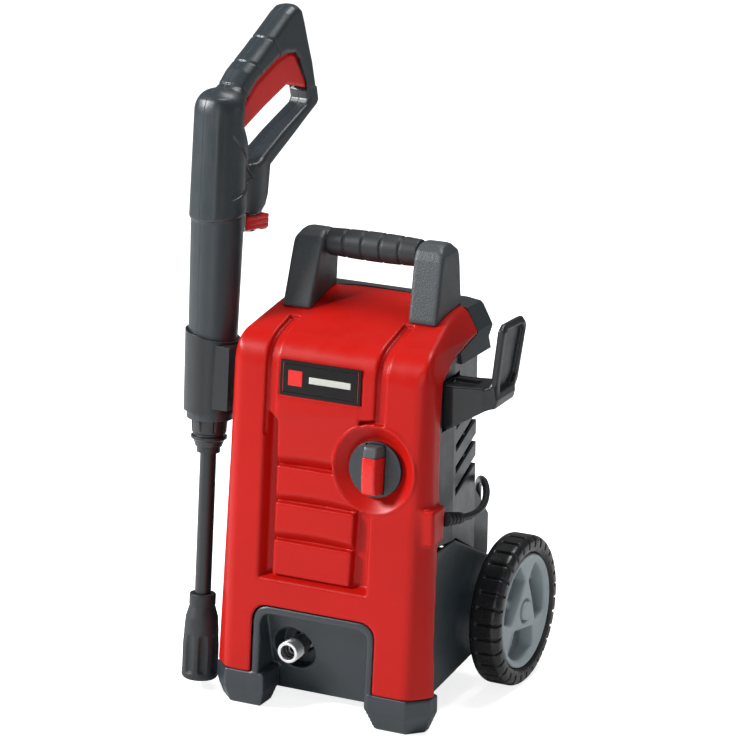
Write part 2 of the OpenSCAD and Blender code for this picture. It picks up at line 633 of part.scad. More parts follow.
// ---------------------------------------------------------------- dial
module dial_knob() color(dark) at_dial() {
    translate([0, 0, -dial_deep + 0.3]) difference() {
        cylinder(d = dial_d, h = 5);
        translate([-10.6, -22.6, 2]) cube([21.2, 47.2, 5]);
    }
    translate([0, 0, -dial_deep - 2 * wall - 12]) cylinder(d = 8, h = 12 + 2 * wall + 0.31);
}
module dial_bar() color(red) at_dial() translate([0, 0, -dial_deep + 2.3]) difference() {
    translate([-10.5, -22.5, 0]) cube([21, 47, 20]);
    for (side = [-1, 1]) translate([side * 12.5, 0, 14]) rotate([0, side * 20, 0]) translate([-3, -40, -12]) cube([6, 80, 40]);
}

// ---------------------------------------------------------------- gun
grip_points = [[-24, 560], [-23, 572], [-14, 580], [2, 582], [18, 600], [43, 619], [72, 641], [84, 650], [92, 655],
    [99, 655], [105, 648], [108, 638], [117, 620], [125, 601], [131, 580], [136, 561], [133, 556], [100, 531], [64, 504],
    [62, 476], [58, 465], [48, 460], [20, 460], [-24, 460]];
loop_points = [[22, 513], [33, 503], [80, 535], [119, 558.5], [121.5, 563], [116, 580], [104, 602], [95, 609.5],
    [82, 608.5], [67, 604], [36, 585.5], [18, 567], [13, 545]];
module gun_half(sign) color(dark) on_gun() difference() {
    union() {
        rotate([90, 0, 0]) intersection() {
            linear_extrude(gun_t, center = true) offset(r = 4) offset(delta = -4) difference() {
                polygon(grip_points);
                polygon(loop_points);
            }
            translate([-200, 0, sign > 0 ? -100 : 0]) cube([500, 800, 100]);
        }
        intersection() {
            union() {
                translate([0, 0, barrel_w0]) cylinder(r1 = barrel_r0, r2 = barrel_d / 2, h = barrel_w1 - barrel_w0);
                translate([0, 0, barrel_w1]) cylinder(r = 27.5, h = 112);
                translate([0, 0, barrel_w1 + 112]) cylinder(r1 = 27.5, r2 = 18, h = 16);
            }
            translate([-100, sign > 0 ? 0 : -100, 0]) cube([200, 100, 800]);
        }
    }
    // room for the valve block, the pipe, the socket and the trigger
    translate([-12.2, -12.2, 462]) cube([68.4, 24.4, 34]);
    translate([0, 0, 250]) cylinder(r = 15.2, h = 230);
    translate([43, 0, 440]) cylinder(r = 11.2, h = 30);
    translate([24, -10, 440]) cube([50, 20, 20]);
    rotate([90, 0, 0]) linear_extrude(21, center = true) polygon([[2, 562], [0, 552], [2, 540], [14, 530], [36, 548],
        [118, 568], [122.5, 576], [121, 588], [107, 615], [97, 626], [84, 624], [66, 613], [34, 593]]);
    translate([trigger_pivot[0], 0, trigger_pivot[1]]) rotate([90, 0, 0]) cylinder(d = 5, h = 28, center = true);
    gun_screw_places() translate([0, 0, -16]) cylinder(d = 5.1, h = 25);
}
module gun_screw_places() for (p = [[-10, 566], [60, 620], [98, 640], [128, 568], [54, 504]])
    translate([p[0], 0, p[1]]) rotate([90, 0, 0]) children();
module gun_shell_left() gun_half(1);
module gun_shell_right() gun_half(-1);
module gun_screws() color(steel) on_gun() gun_screw_places() translate([0, 0, -13.5]) cylinder(d = 5, h = 22.5);
module gun_valve_block() color(brass) on_gun() difference() {
    union() {
        translate([-12, -12, 462.5]) cube([68, 24, 33]);
        translate([0, 0, 268]) cylinder(r = 6, h = 200);
        translate([0, 0, 262]) cylinder(r = 15, h = 14);
    }
    translate([0, 0, 261]) cylinder(r = 8.05, h = 12);
}
module gun_hose_socket() color(steel) on_gun() translate([43, 0, 441]) difference() {
    cylinder(r = 11, h = 21.3);
    translate([0, 0, -1]) cylinder(r = 8, h = 18);
    for (v = [-9.8, 8]) translate([-20, v, 2.5]) cube([40, 1.8, 9]);
}
module hose_clip() color(red) on_gun() difference() {
    translate([30, -9.7, 444]) cube([36, 19.4, 8]);
    translate([20, -8.1, 440]) cube([39, 16.2, 20]);
}
trigger_pivot = [14, 548];
module trigger() color(red) on_gun() rotate([90, 0, 0]) difference() {
    linear_extrude(20, center = true) difference() {
        polygon([[9, 551], [9, 543], [13, 539], [22, 541], [54, 560.5], [90, 580], [119.5, 573.5], [119, 580], [99, 608.5],
            [90, 609.5], [72, 603.5], [42, 585]]);
        translate(trigger_pivot) circle(d = 4.1);
    }
    linear_extrude(11, center = true) {
        translate(lock_pivot) circle(d = 9);
        polygon([[93.5, 580], [93.5, 590], [100, 592], [118.5, 587.5], [126, 572], [95, 572]]);
    }
}
lock_pivot = [98, 590];
module trigger_pin() color(steel) on_gun() translate([trigger_pivot[0], 0, trigger_pivot[1]]) rotate([90, 0, 0])
    cylinder(d = 4, h = 26, center = true);
module trigger_lock() color(red) on_gun() rotate([90, 0, 0]) linear_extrude(10, center = true)
    polygon(concat([for (a = [-10:20:290]) lock_pivot + 4 * [cos(a), sin(a)]], [[100, 580], [118, 579], [116, 584.5]]));
module lance_tube() color(dark) on_dock() difference() {
    translate([0, 0, 84]) cylinder(d = lance_d, h = 188);
    translate([0, 0, 78]) cylinder(d = 8, h = 200);
}
module lance_collar() color(dark) on_dock() difference() {
    rotate_extrude() polygon([[lance_d / 2, 228], [11.5, 228], [11.5, 233], [13, 234], [15, 240], [17.6, 242], [17.6, 244.5],
        [15.5, 245.5], [15.5, 247], [16.8, 248], [17.8, 261.5], [lance_d / 2, 261.5]]);
    for (a = [0:45:315]) rotate([0, 0, a]) translate([17.6, 0, 250]) cylinder(r = 1.5, h = 12);
}
module nozzle_body() color(rubber) on_dock() difference() {
    union() {
        translate([0, 0, 62]) cylinder(d1 = 32, d2 = 25, h = 12);
        translate([0, 0, 74]) cylinder(d = 26, h = 12);
        translate([0, 0, 34]) cylinder(d1 = nozzle_d, d2 = 32, h = 28);
        translate([0, 0, 3]) cylinder(d = nozzle_d, h = 31);
        cylinder(d1 = nozzle_d - 4, d2 = nozzle_d, h = 3);
    }
    translate([0, 0, 79.9]) cylinder(d = lance_d + 0.2, h = 20);
    translate([0, 0, 12]) cylinder(d = 6, h = 80);
    translate([0, 0, -0.01]) cylinder(d1 = 22, d2 = 6, h = 12.02);
    for (a = [0:45:315]) rotate([0, 0, a]) translate([nozzle_d / 2 + 2.5, 0, 8]) cylinder(r = 5, h = 22);
}

// ---------------------------------------------------------------- mains cord
relief_from = [110.6, 44, 208];
relief_to = [119.5, 68, 204];
module strain_relief() color(rubber) intersection() {
    way = unit(relief_to - relief_from);
    translate(relief_from) rotate([0, acos(way[2]), atan2(way[1], way[0])]) difference() {
        cylinder(r1 = 7.4, r2 = 5.4, h = norm(relief_to - relief_from));
        for (z = [9, 14, 19]) translate([0, 0, z]) difference() {
            cylinder(r = 9, h = 1.6);
            cylinder(r = 4.9, h = 1.6);
        }
    }
    translate([60, 47.05, 150]) cube(100);
}
cord_route = [[119.5, 68, 204], [122, 82, 202], [123, 97, 201], [122, 112, 202], [119, 126, 205], [114, 139, 209],
    [107, 151, 212], [99, 163, 211], [91, 175, 207], [84, 187, 199], [79, 197, 186], [76, 204, 170], [75, 208, 152],
    [75, 210, 132], [75, 212, 108], [75, 214, 84], [74, 217, 62], [70, 220, 42], [61, 222, 25], [47, 223, 13],
    [30, 223, 7], [10, 222, 4], [-12, 221.6, 3.6], [-36, 221.6, 3.6]];
coil_x = -40;
coil_y = 282;
coil_r0 = 29;
coil_r1 = 64;
coil_h = 22;
module mains_cord() color(rubber) tube(cord_route, cord_d / 2, 60, 10, [0, 0, 1]);
module cord_coil() color(rubber) translate([coil_x, coil_y, 0]) rotate_extrude()
    translate([coil_r0, 0]) square([coil_r1 - coil_r0, coil_h]);
module cord_tie() color([0.15, 0.15, 0.15]) translate([coil_x, coil_y + 4, 0]) rotate([90, 0, 0])
    linear_extrude(8) difference() {
        translate([-coil_r1 - 1.8, 0]) square([coil_r1 - coil_r0 + 4, coil_h + 1.8]);
        translate([-coil_r1 - 0.3, -1]) square([coil_r1 - coil_r0 + 0.9, coil_h + 1.2]);
    }
module mains_plug() color(rubber) translate([coil_x, coil_y, coil_h]) {
    rotate([0, 90, 20]) translate([-19, 0, -22]) {
        cylinder(r = 18, h = 16);
        translate([0, 0, 16]) cylinder(r1 = 15, r2 = 7, h = 22);
        color(steel) for (s = [-9.5, 9.5]) translate([0, s, -19]) cylinder(r = 2.4, h = 20);
    }
}

place() base_chassis();
place() front_cover();
place() rear_shell();
place() carry_handle();
place() grip_sleeve();
place() handle_screws();
place() badge_plate();
place() hose_hook();
place() gun_holder();
place() cover_screws();
place() outlet_fitting();
place() outlet_seal();
place() outlet_pipe();
place() inlet_fitting();
place() inlet_filter();
place() inlet_pipe();
place() axle();
place() axle_clips();
place() motor_can();
place() motor_stator();
place() field_coils();
place() brush_holders();
place() motor_bearings();
place() gearbox_housing();
place() pump_head();
place() pump_seals();
place() pistons();
place() piston_springs();
place() check_valves();
place() unloader_valve();
place() flow_switch();
place() rotary_switch();
place() noise_capacitor();
place() inner_wires();
place() rotor_shaft();
place() cooling_fan();
place() wobble_gear();
place() dial_knob();
place() dial_bar();
place() tyre(-1);  // tyre_left
place() rim(-1);  // rim_left
place() tyre(1);  // tyre_right
place() rim(1);  // rim_right
place() gun_shell_left();
place() gun_shell_right();
place() gun_screws();
place() gun_valve_block();
place() gun_hose_socket();
place() hose_clip();
place() trigger();
place() trigger_pin();
place() trigger_lock();
place() lance_tube();
place() lance_collar();
place() nozzle_body();
place() strain_relief();
place() mains_cord();
place() cord_coil();
place() cord_tie();
place() mains_plug();
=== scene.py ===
import math

import bpy
import numpy as np
from mathutils import Matrix, Vector
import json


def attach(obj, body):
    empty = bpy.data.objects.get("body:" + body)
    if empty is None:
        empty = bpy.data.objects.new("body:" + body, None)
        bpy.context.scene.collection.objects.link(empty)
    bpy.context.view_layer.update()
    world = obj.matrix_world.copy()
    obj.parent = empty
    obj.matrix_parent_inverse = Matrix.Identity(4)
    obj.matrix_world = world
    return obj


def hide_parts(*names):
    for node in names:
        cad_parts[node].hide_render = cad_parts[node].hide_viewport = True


# Looks of an upright pressure washer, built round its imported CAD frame.
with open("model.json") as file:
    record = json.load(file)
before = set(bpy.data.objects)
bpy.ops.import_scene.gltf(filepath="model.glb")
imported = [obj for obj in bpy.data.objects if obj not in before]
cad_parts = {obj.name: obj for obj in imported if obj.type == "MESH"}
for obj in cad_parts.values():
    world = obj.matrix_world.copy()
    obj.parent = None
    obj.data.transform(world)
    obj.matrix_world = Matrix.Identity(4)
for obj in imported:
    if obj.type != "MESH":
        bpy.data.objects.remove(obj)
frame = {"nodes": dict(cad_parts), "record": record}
NODES = frame["nodes"]


def note_size():
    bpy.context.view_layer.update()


note_size()

# ---------------------------------------------------------------- machine frame
# All design lengths are in mm from the middle of the feet's front edge, x right, y back, z up.
MID = np.array([-5.25, 129.75, 0.0])     # middle of the whole object's box, on the floor


def place(points):
    """Machine millimetres to the frame's metres."""
    return (np.asarray(points, float) - MID) / 1000


LEAN = math.radians(4.75)                # backward lean of the front and of the docked gun
SLOPE = math.tan(LEAN)
COVER_Z0 = 37.0                          # the cover's lower edge, where the leaning front starts
BEND_Y, BEND_Z = 53.7, 371.0             # where the front bends over into the top
RIDGE_Y, RIDGE_Z = 143.0, 397.0          # the cover's highest, rear edge
OPENING_X, OPENING_HALF, OPENING_TOP = -5.0, 65.0, 105.0    # the cover's opening for the outlet
GRIP_Y, GRIP_Z, GRIP_BORE_R = 124.0, 441.0, 10.6
AXLE_Y, AXLE_BORE_R = 185.0, 5.15        # the axle lies one tyre radius above the floor
TYRE_R, TYRE_W, WHEEL_X = 75.0, 32.0, 125.0
DIAL_X, DIAL_Z, DIAL_DEEP = 51.0, 255.0, 9.0
BADGE_X, BADGE_Z = -8.0, 331.5
OUTLET_X, OUTLET_Z = -36.0, 58.0
OUTLET_MID_Y, OUTLET_HALF = 28.0, 15.0
GUN_BASE = np.array([-139.5, 25.8, 10.0])
GUN_TURN = math.radians(80)              # the grip points back and slightly inwards
GUN_D = np.array([0, math.sin(LEAN), math.cos(LEAN)])
GUN_U = np.array([math.cos(GUN_TURN), math.sin(GUN_TURN) * math.cos(LEAN),
                  -math.sin(GUN_TURN) * math.sin(LEAN)])
GUN_V = np.cross(GUN_D, GUN_U)
SOCKET_U = 43.0                          # the hose socket's place along the gun's grip


def front_depth(y, z):
    """How far a point lies behind the leaning front."""
    return (y - (z - COVER_Z0) * SLOPE) * math.cos(LEAN)


def up_slope(z):
    """A height as a distance up the leaning front."""
    return (z - COVER_Z0) / math.cos(LEAN)


def front_place(points):
    """Coordinates of the leaning front (x, up the slope, out of the face) to metres."""
    points = np.asarray(points, float)
    y = points[:, 1] * math.sin(LEAN) - points[:, 2] * math.cos(LEAN)
    z = COVER_Z0 + points[:, 1] * math.cos(LEAN) + points[:, 2] * math.sin(LEAN)
    return place(np.stack([points[:, 0], y, z], 1))


def gun_place(points):
    """Gun coordinates (u along the grip, v across, w up the barrel) to metres."""
    points = np.asarray(points, float)
    return place(GUN_BASE + points[:, :1] * GUN_U + points[:, 1:2] * GUN_V + points[:, 2:] * GUN_D)


# ---------------------------------------------------------------- camera and light
scene = bpy.context.scene
AZIMUTH, ELEVATION, ROLL = math.radians(26.08), math.radians(16.63), math.radians(-0.65)
CAMERA_AT = (1478.2, -2910.9, 1328.5)
LENS, SENSOR = 178.65, 36
WORLD_STRENGTH = 0.17


def add_camera():
    right = Vector((math.cos(AZIMUTH), math.sin(AZIMUTH), 0))
    back = Vector((math.sin(AZIMUTH) * math.cos(ELEVATION), -math.cos(AZIMUTH) * math.cos(ELEVATION),
                   math.sin(ELEVATION)))
    up = back.cross(right)
    right, up = (math.cos(ROLL) * right - math.sin(ROLL) * up,
                 math.sin(ROLL) * right + math.cos(ROLL) * up)
    data = bpy.data.cameras.new("camera")
    data.lens = LENS
    data.sensor_width = SENSOR
    data.clip_end = 50
    camera = bpy.data.objects.new("camera", data)
    camera.matrix_world = Matrix((right, up, back)).transposed().to_4x4()
    camera.location = place(CAMERA_AT)
    scene.collection.objects.link(camera)
    scene.camera = camera


def add_light(name, at, target, size, power):
    data = bpy.data.lights.new(name, "AREA")
    data.shape = "DISK"
    data.size = size
    data.energy = power
    light = bpy.data.objects.new(name, data)
    light.location = at
    light.rotation_euler = (Vector(target) - Vector(at)).to_track_quat("-Z", "Y").to_euler()
    scene.collection.objects.link(light)


def add_studio():
    world = bpy.data.worlds.new("studio")
    scene.world = world
    world.use_nodes = True
    background = world.node_tree.nodes["Background"]
    background.inputs["Color"].default_value = (1, 1, 1, 1)
    background.inputs["Strength"].default_value = WORLD_STRENGTH
    add_light("key", (-2.2, -1.5, 1.9), (0, 0, 0.3), 0.8, 126)
    add_light("front", (0.6, -3.0, 0.9), (0, 0, 0.3), 1.2, 14)
    add_light("top", (0.3, 0.7, 2.7), (0, 0, 0.2), 1.1, 40)
    add_light("side", (2.7, 0.2, 1.0), (0, 0.05, 0.2), 0.8, 3)
    # plain colour rendition, so that strong reds stay strong
    scene.view_settings.view_transform = "Standard"


add_camera()
add_studio()


# ---------------------------------------------------------------- materials
class Shader:
    """Builds a node material on a Principled shader, in object coordinates (metres)."""

    def __init__(self, name):
        self.material = bpy.data.materials.new(name)
        self.material.use_nodes = True
        self.tree = self.material.node_tree
        self.principled = self.tree.nodes["Principled BSDF"]
        self.coords = self.tree.nodes.new("ShaderNodeTexCoord").outputs["Object"]

    def node(self, kind, values=None, links=None, **settings):
        made = self.tree.nodes.new(kind)
        for key, value in settings.items():
            setattr(made, key, value)
        for key, value in (values or {}).items():
            made.inputs[key].default_value = value
        for key, socket in (links or {}).items():
            self.tree.links.new(socket, made.inputs[key])
        return made

    def noise(self, scale, detail=4, rough=0.6):
        return self.node("ShaderNodeTexNoise", {"Scale": scale, "Detail": detail, "Roughness": rough},
                         {"Vector": self.coords}).outputs["Fac"]

    def spread(self, socket, low, high, to_low, to_high):
        limits = {"From Min": low, "From Max": high, "To Min": to_low, "To Max": to_high}
        return self.node("ShaderNodeMapRange", limits, {"Value": socket}).outputs["Result"]

    def mix(self, amount, first, second):
        made = self.node("ShaderNodeMix", data_type="RGBA")
        self.tree.links.new(amount, made.inputs[0])
        for index, value in ((6, first), (7, second)):
            if isinstance(value, bpy.types.NodeSocket):
                self.tree.links.new(value, made.inputs[index])
            else:
                made.inputs[index].default_value = (*value, 1)
        return made.outputs[2]

    def maths(self, operation, first, second):
        made = self.node("ShaderNodeMath", operation=operation)
        for index, value in enumerate((first, second)):
            if isinstance(value, bpy.types.NodeSocket):
                self.tree.links.new(value, made.inputs[index])
            else:
                made.inputs[index].default_value = value
        return made.outputs[0]

    def bevel(self, radius):
        return self.node("ShaderNodeBevel", {"Radius": radius}, samples=6).outputs["Normal"]

    def bump(self, height, distance, normal):
        return self.node("ShaderNodeBump", {"Strength": 1.0, "Distance": distance},
                         {"Height": height, "Normal": normal}).outputs["Normal"]

    def finish(self, **sockets):
        for key, value in sockets.items():
            key = key.replace("_", " ")
            if isinstance(value, bpy.types.NodeSocket):
                self.tree.links.new(value, self.principled.inputs[key])
            else:
                self.principled.inputs[key].default_value = value
        return self.material


WEAR_RADIUS = 0.002                      # metres, as are all lengths in the materials
METAL_EDGE, RUBBER_EDGE = 0.0004, 0.0005
BRUSH_STRETCH = (1, 1, 14)


def edge_wear(shader, strength):
    """0 on flat ground, up to strength along convex edges, broken up by noise."""
    straight = shader.node("ShaderNodeNewGeometry").outputs["Normal"]
    rounded = shader.bevel(WEAR_RADIUS)
    dot = shader.node("ShaderNodeVectorMath", operation="DOT_PRODUCT")
    shader.tree.links.new(straight, dot.inputs[0])
    shader.tree.links.new(rounded, dot.inputs[1])
    edge = shader.spread(dot.outputs["Value"], 0.97, 0.75, 0, strength)
    return shader.maths("MULTIPLY", edge, shader.spread(shader.noise(220, 3), 0.4, 0.62, 0, 1))


def moulded(name, color, rough, grain=1400, depth=0.00012, edge=0.0006, wear=0.25, sheen=0.5):
    """Moulded plastic: fine grain, slight colour and gloss drift, paler rubbed edges."""
    shader = Shader(name)
    drift = shader.spread(shader.noise(9, 3), 0.3, 0.7, 0, 1)
    dark = tuple(c * 0.90 for c in color)
    base = shader.mix(drift, dark, color)
    pale = tuple(min(1, c * 1.3 + 0.03) for c in color)
    base = shader.mix(edge_wear(shader, wear), base, pale)
    gloss = shader.spread(shader.noise(60, 5), 0.3, 0.7, rough - 0.05, rough + 0.06)
    grained = shader.noise(grain, 2, 0.5)
    pebbles = shader.node("ShaderNodeTexVoronoi", {"Scale": grain * 0.8}, {"Vector": shader.coords})
    height = shader.maths("ADD", grained, shader.maths("MULTIPLY", pebbles.outputs["Distance"], 0.6))
    normal = shader.bump(height, depth, shader.bevel(edge))
    return shader.finish(Base_Color=base, Roughness=gloss, Normal=normal, Specular_IOR_Level=sheen)


def metal(name, color, rough, brushed=True):
    """Turned or brushed metal with fine streaks."""
    shader = Shader(name)
    stretched = shader.node("ShaderNodeMapping", {"Scale": BRUSH_STRETCH}, {"Vector": shader.coords})
    lines = shader.node("ShaderNodeTexNoise", {"Scale": 260, "Detail": 5},
                        {"Vector": stretched.outputs["Vector"]}).outputs["Fac"]
    stain = shader.spread(shader.noise(40, 4), 0.35, 0.7, 0, 1)
    base = shader.mix(stain, tuple(c * 0.86 for c in color), color)
    gloss = shader.spread(lines, 0.3, 0.7, rough - 0.06, rough + 0.10)
    relief = lines if brushed else shader.noise(700, 3)
    normal = shader.bump(relief, 0.00004, shader.bevel(METAL_EDGE))
    return shader.finish(Base_Color=base, Roughness=gloss, Metallic=1.0, Normal=normal)


def rubbery(name, color, rough, grain=900, depth=0.0001):
    """Rubber: matt, dusty in places."""
    shader = Shader(name)
    dust = shader.spread(shader.noise(26, 6, 0.7), 0.45, 0.75, 0, 0.35)
    base = shader.mix(dust, color, tuple(c * 1.8 + 0.015 for c in color))
    gloss = shader.spread(shader.noise(80, 4), 0.3, 0.7, rough - 0.07, rough + 0.07)
    normal = shader.bump(shader.noise(grain, 3), depth, shader.bevel(RUBBER_EDGE))
    return shader.finish(Base_Color=base, Roughness=gloss, Normal=normal, Specular_IOR_Level=0.4)


RED = (0.46, 0.007, 0.004)
DARK = (0.017, 0.027, 0.034)
mat_red = moulded("red_plastic", RED, 0.34, 1500, 0.00005, 0.001, 0.12, 0.2)
# Trim red: partly its own brighter red, partly painted light, raised so the trigger's flank, which the
# lamps leave in shade, still reads bright
mat_trim_painted_light = moulded("red_trim_plastic_painted_light", (0.68, 0.012, 0.009), 0.30, 1500, 0.00003, 0.0006, 0.15)
mat_dark = moulded("dark_plastic", DARK, 0.40, 1300, 0.00007, 0.0008, 0.30, 0.65)
mat_black_dark = moulded("black_shell_plastic", (0.009, 0.012, 0.015), 0.36, 1300, 0.00007, 0.0008,
                         0.30, 0.6)
mat_grain = moulded("grained_plastic", (0.052, 0.062, 0.068), 0.46, 800, 0.00022, 0.0008, 0.3)
mat_grip = rubbery("soft_grip", (0.020, 0.023, 0.026), 0.50, 1100, 0.00012)
mat_rubber = rubbery("rubber", (0.018, 0.019, 0.021), 0.46)
mat_tyre = rubbery("tyre_rubber", (0.009, 0.0095, 0.0105), 0.30, 500, 0.00008)
mat_rim = moulded("rim_plastic", (0.40, 0.47, 0.50), 0.42, 1100, 0.0001, 0.0008, 0.3)
mat_pointer = moulded("pointer_plastic", (0.085, 0.095, 0.10), 0.3, 1500, 0.00004, 0.0006, 0.3)
mat_cable = rubbery("cable_jacket", (0.012, 0.013, 0.015), 0.28, 1500, 0.00004)
mat_steel = metal("steel", (0.62, 0.63, 0.65), 0.28)
mat_chrome = metal("bright_fitting", (0.80, 0.81, 0.82), 0.16)
mat_zinc = metal("zinc_plated", (0.83, 0.84, 0.85), 0.34, False)
mat_brass = metal("brass", (0.72, 0.53, 0.24), 0.30)
mat_cast = metal("cast_aluminium", (0.50, 0.51, 0.52), 0.48, False)
mat_copper = metal("copper_winding", (0.62, 0.30, 0.14), 0.34)
mat_black = moulded("black_trim", (0.006, 0.006, 0.006), 0.22, 1500, 0.00003, 0.0005, 0.1, 0.25)
mat_film = moulded("film_capacitor", (0.62, 0.46, 0.12), 0.30)
mat_mesh = moulded("filter_mesh", (0.55, 0.55, 0.50), 0.45, 1800, 0.0003)

SLOT_MATERIAL = {
    "red_shell": mat_red, "dark_shell": mat_dark, "soft_grip": mat_grip, "rubber": mat_rubber,
    "tyre": mat_tyre, "rim": mat_rim, "steel": mat_steel, "chrome_fitting": mat_chrome,
    "brass": mat_brass, "cast": mat_cast, "lamination": mat_cast, "copper": mat_copper,
    "black_trim": mat_black, "red_trim": mat_trim_painted_light, "film": mat_film, "mesh": mat_mesh}


def dress_nodes():
    """Gives every CAD node the material of its slot."""
    for part in frame["record"]["subparts"]:
        mesh = NODES[part["node"]].data
        mesh.materials.clear()
        mesh.materials.append(SLOT_MATERIAL[part["material_slot"]])


dress_nodes()
for name in ("gun_holder", "lance_tube", "lance_collar"):
    NODES[name].data.materials[0] = mat_black_dark


# ---------------------------------------------------------------- shapes as distance fields
def smax(a, b, k):
    """Intersection of two fields with an edge rounded over about k millimetres."""
    h = np.maximum(k - np.abs(a - b), 0) / k
    return np.maximum(a, b) + h * h * k * 0.25


def smin(a, b, k):
    """Union of two fields with a fillet of about k millimetres."""
    return -smax(-a, -b, k)


def outline(points, x, y):
    """Signed distance to a closed outline, negative inside."""
    best = np.full(np.broadcast(x, y).shape, 1e9)
    inside = np.zeros(best.shape, bool)
    for (ax, ay), (bx, by) in zip(points, points[1:] + points[:1]):
        ex, ey = bx - ax, by - ay
        t = np.clip(((x - ax) * ex + (y - ay) * ey) / (ex * ex + ey * ey), 0, 1)
        best = np.minimum(best, np.hypot(x - ax - t * ex, y - ay - t * ey))
        crosses = (ay > y) != (by > y)
        inside ^= crosses & (x < ax + (y - ay) * ex / (ey if ey else 1e-9))
    return np.where(inside, -best, best)


def slab(flat, across, half, r):
    """An outline's field carried through a thickness of twice half, its edges rounded by r."""
    a, b = flat + r, np.abs(across) - half + r
    return np.minimum(np.maximum(a, b), 0) + np.hypot(np.maximum(a, 0), np.maximum(b, 0)) - r


def block(x, y, z, lo, hi, r):
    """A box with rounded edges."""
    q = [np.abs(v - (l + h) / 2) - (h - l) / 2 + r for v, l, h in zip((x, y, z), lo, hi)]
    return (np.minimum(np.maximum(np.maximum(q[0], q[1]), q[2]), 0)
            + np.sqrt(sum(np.maximum(v, 0) ** 2 for v in q)) - r)


def surface(name, field, lo, hi, step, material, to_world=place):
    """Meshes a field's zero surface with one point in each crossed cell, and returns the new object."""
    axes = [np.arange(l - 1.5 * step, h + 1.5 * step, step) for l, h in zip(lo, hi)]
    values = np.asarray(field(*np.meshgrid(*axes, indexing="ij", sparse=True)), np.float32)
    n = values.shape
    inner = values < 0
    corners = [(i, j, k) for i in (0, 1) for j in (0, 1) for k in (0, 1)]

    def shifted(array, c):
        return array[c[0]:n[0] - 1 + c[0], c[1]:n[1] - 1 + c[1], c[2]:n[2] - 1 + c[2]]

    count = sum(shifted(inner, c).astype(np.int8) for c in corners)
    cells = np.argwhere((count > 0) & (count < 8))
    total = np.zeros((len(cells), 3))
    hits = np.zeros(len(cells))
    for c in corners:
        for axis in range(3):
            if c[axis]:
                continue
            e = list(c)
            e[axis] = 1
            a = values[tuple((cells + c).T)]
            b = values[tuple((cells + e).T)]
            cross = (a < 0) != (b < 0)
            t = np.where(cross, a / np.where(cross, a - b, 1), 0)
            point = np.tile(np.array(c, float), (len(cells), 1))
            point[:, axis] += t
            total += point * cross[:, None]
            hits += cross
    points = np.array([a[0] for a in axes]) + (cells + total / hits[:, None]) * step
    index = np.full([v - 1 for v in n], -1, np.int64)
    index[tuple(cells.T)] = np.arange(len(cells))
    quads = []
    for axis in range(3):
        u, v = (axis + 1) % 3, (axis + 2) % 3
        first = [slice(None)] * 3
        second = [slice(None)] * 3
        first[axis], second[axis] = slice(0, -1), slice(1, None)
        a, b = inner[tuple(first)], inner[tuple(second)]
        edges = np.argwhere(a != b)
        keep = (edges[:, u] > 0) & (edges[:, v] > 0)
        edges = edges[keep]
        starts_in = a[tuple(edges.T)]
        ring = []
        for du, dv in ((0, 0), (1, 0), (1, 1), (0, 1)):
            cell = edges.copy()
            cell[:, u] -= du
            cell[:, v] -= dv
            ring.append(index[tuple(cell.T)])
        ring = np.stack(ring, 1)
        ring[~starts_in] = ring[~starts_in][:, ::-1]
        quads.append(ring)
    faces = np.concatenate(quads)
    faces = faces[(faces >= 0).all(1)]
    mesh = bpy.data.meshes.new(name)
    mesh.vertices.add(len(points))
    mesh.vertices.foreach_set("co", to_world(points).astype(np.float32).ravel())
    mesh.loops.add(len(faces) * 4)
    mesh.loops.foreach_set("vertex_index", faces.astype(np.int32).ravel())
    mesh.polygons.add(len(faces))
    mesh.polygons.foreach_set("loop_start", np.arange(0, len(faces) * 4, 4, dtype=np.int32))
    mesh.polygons.foreach_set("use_smooth", np.ones(len(faces), bool))
    mesh.update(calc_edges=True)
    mesh.validate()
    mesh.materials.append(material)
    made = bpy.data.objects.new(name, mesh)
    scene.collection.objects.link(made)
    return made


COARSE = 1.0


# ---------------------------------------------------------------- red front cover
RECESS = (-66, 50, 132, 303)             # left, right, foot and top of the sunk panel
RECESS_DEEP = 12.0
RIB_TOP = 300.0                          # above this height the ribbed block runs into the face
RIB_CUTS = (247.5, 211.5, 174.5)         # heights of the undercuts between its ribs
FUNNEL_R, FUNNEL_RIM_R = 41.0, 43.5
COVER_WALL = 3.0
# where the rear shell takes over, as (y, z): the cover lies in front of this line
REAR_EDGE = [(-60, 20), (24, 20), (27, 94), (44, 220), (49, 303), (54, 339), (91, 355), (142.7, 365),
             (142.7, 460), (-60, 460)]


def cover_body(x, y, z):
    """The cover's outer form before its recess, grooves and openings."""
    w = front_depth(y, z)
    ax = np.abs(x)
    fall = math.atan2(RIDGE_Z - BEND_Z, RIDGE_Y - BEND_Y)
    top = (z - BEND_Z) * math.cos(fall) - (y - BEND_Y) * math.sin(fall)
    d = smax(-w, top, 24)
    d = smax(d, (ax - 97 - w) * 0.7071, 5)
    side = ax - np.interp(z, [37, 250, 340, 366, 388], [115.5, 107, 105.5, 100, 88])
    d = smax(d, side, 5)
    d = smax(d, z - RIDGE_Z + 9 * (ax / 88) ** 2, 6)
    return smax(d, COVER_Z0 - z, 1)


def ribbed_block(x, z, s, w):
    """The block in the recess: its face sinks towards the top, and undercuts part its ribs."""
    plan = outline([(-52, up_slope(137)), (29, up_slope(137)), (33, up_slope(290)), (33, up_slope(312)),
                    (-52, up_slope(312))], x, s)
    face = 4 * np.clip((RIB_TOP - z) / 60, 0, 1)
    d = smax(smax(plan - w * 0.12, face - w, 2.0), w - 16, 1)
    for height in RIB_CUTS:
        t = s - up_slope(height)
        arch = 2.6 * (1 - ((x + 10) / 42) ** 2)
        notch = np.maximum(w - 4 - (4.4 + arch - t) * 0.72, -t - 4.2)
        d = smax(d, -np.maximum(notch, z - RIB_TOP), 1.2)
    return d


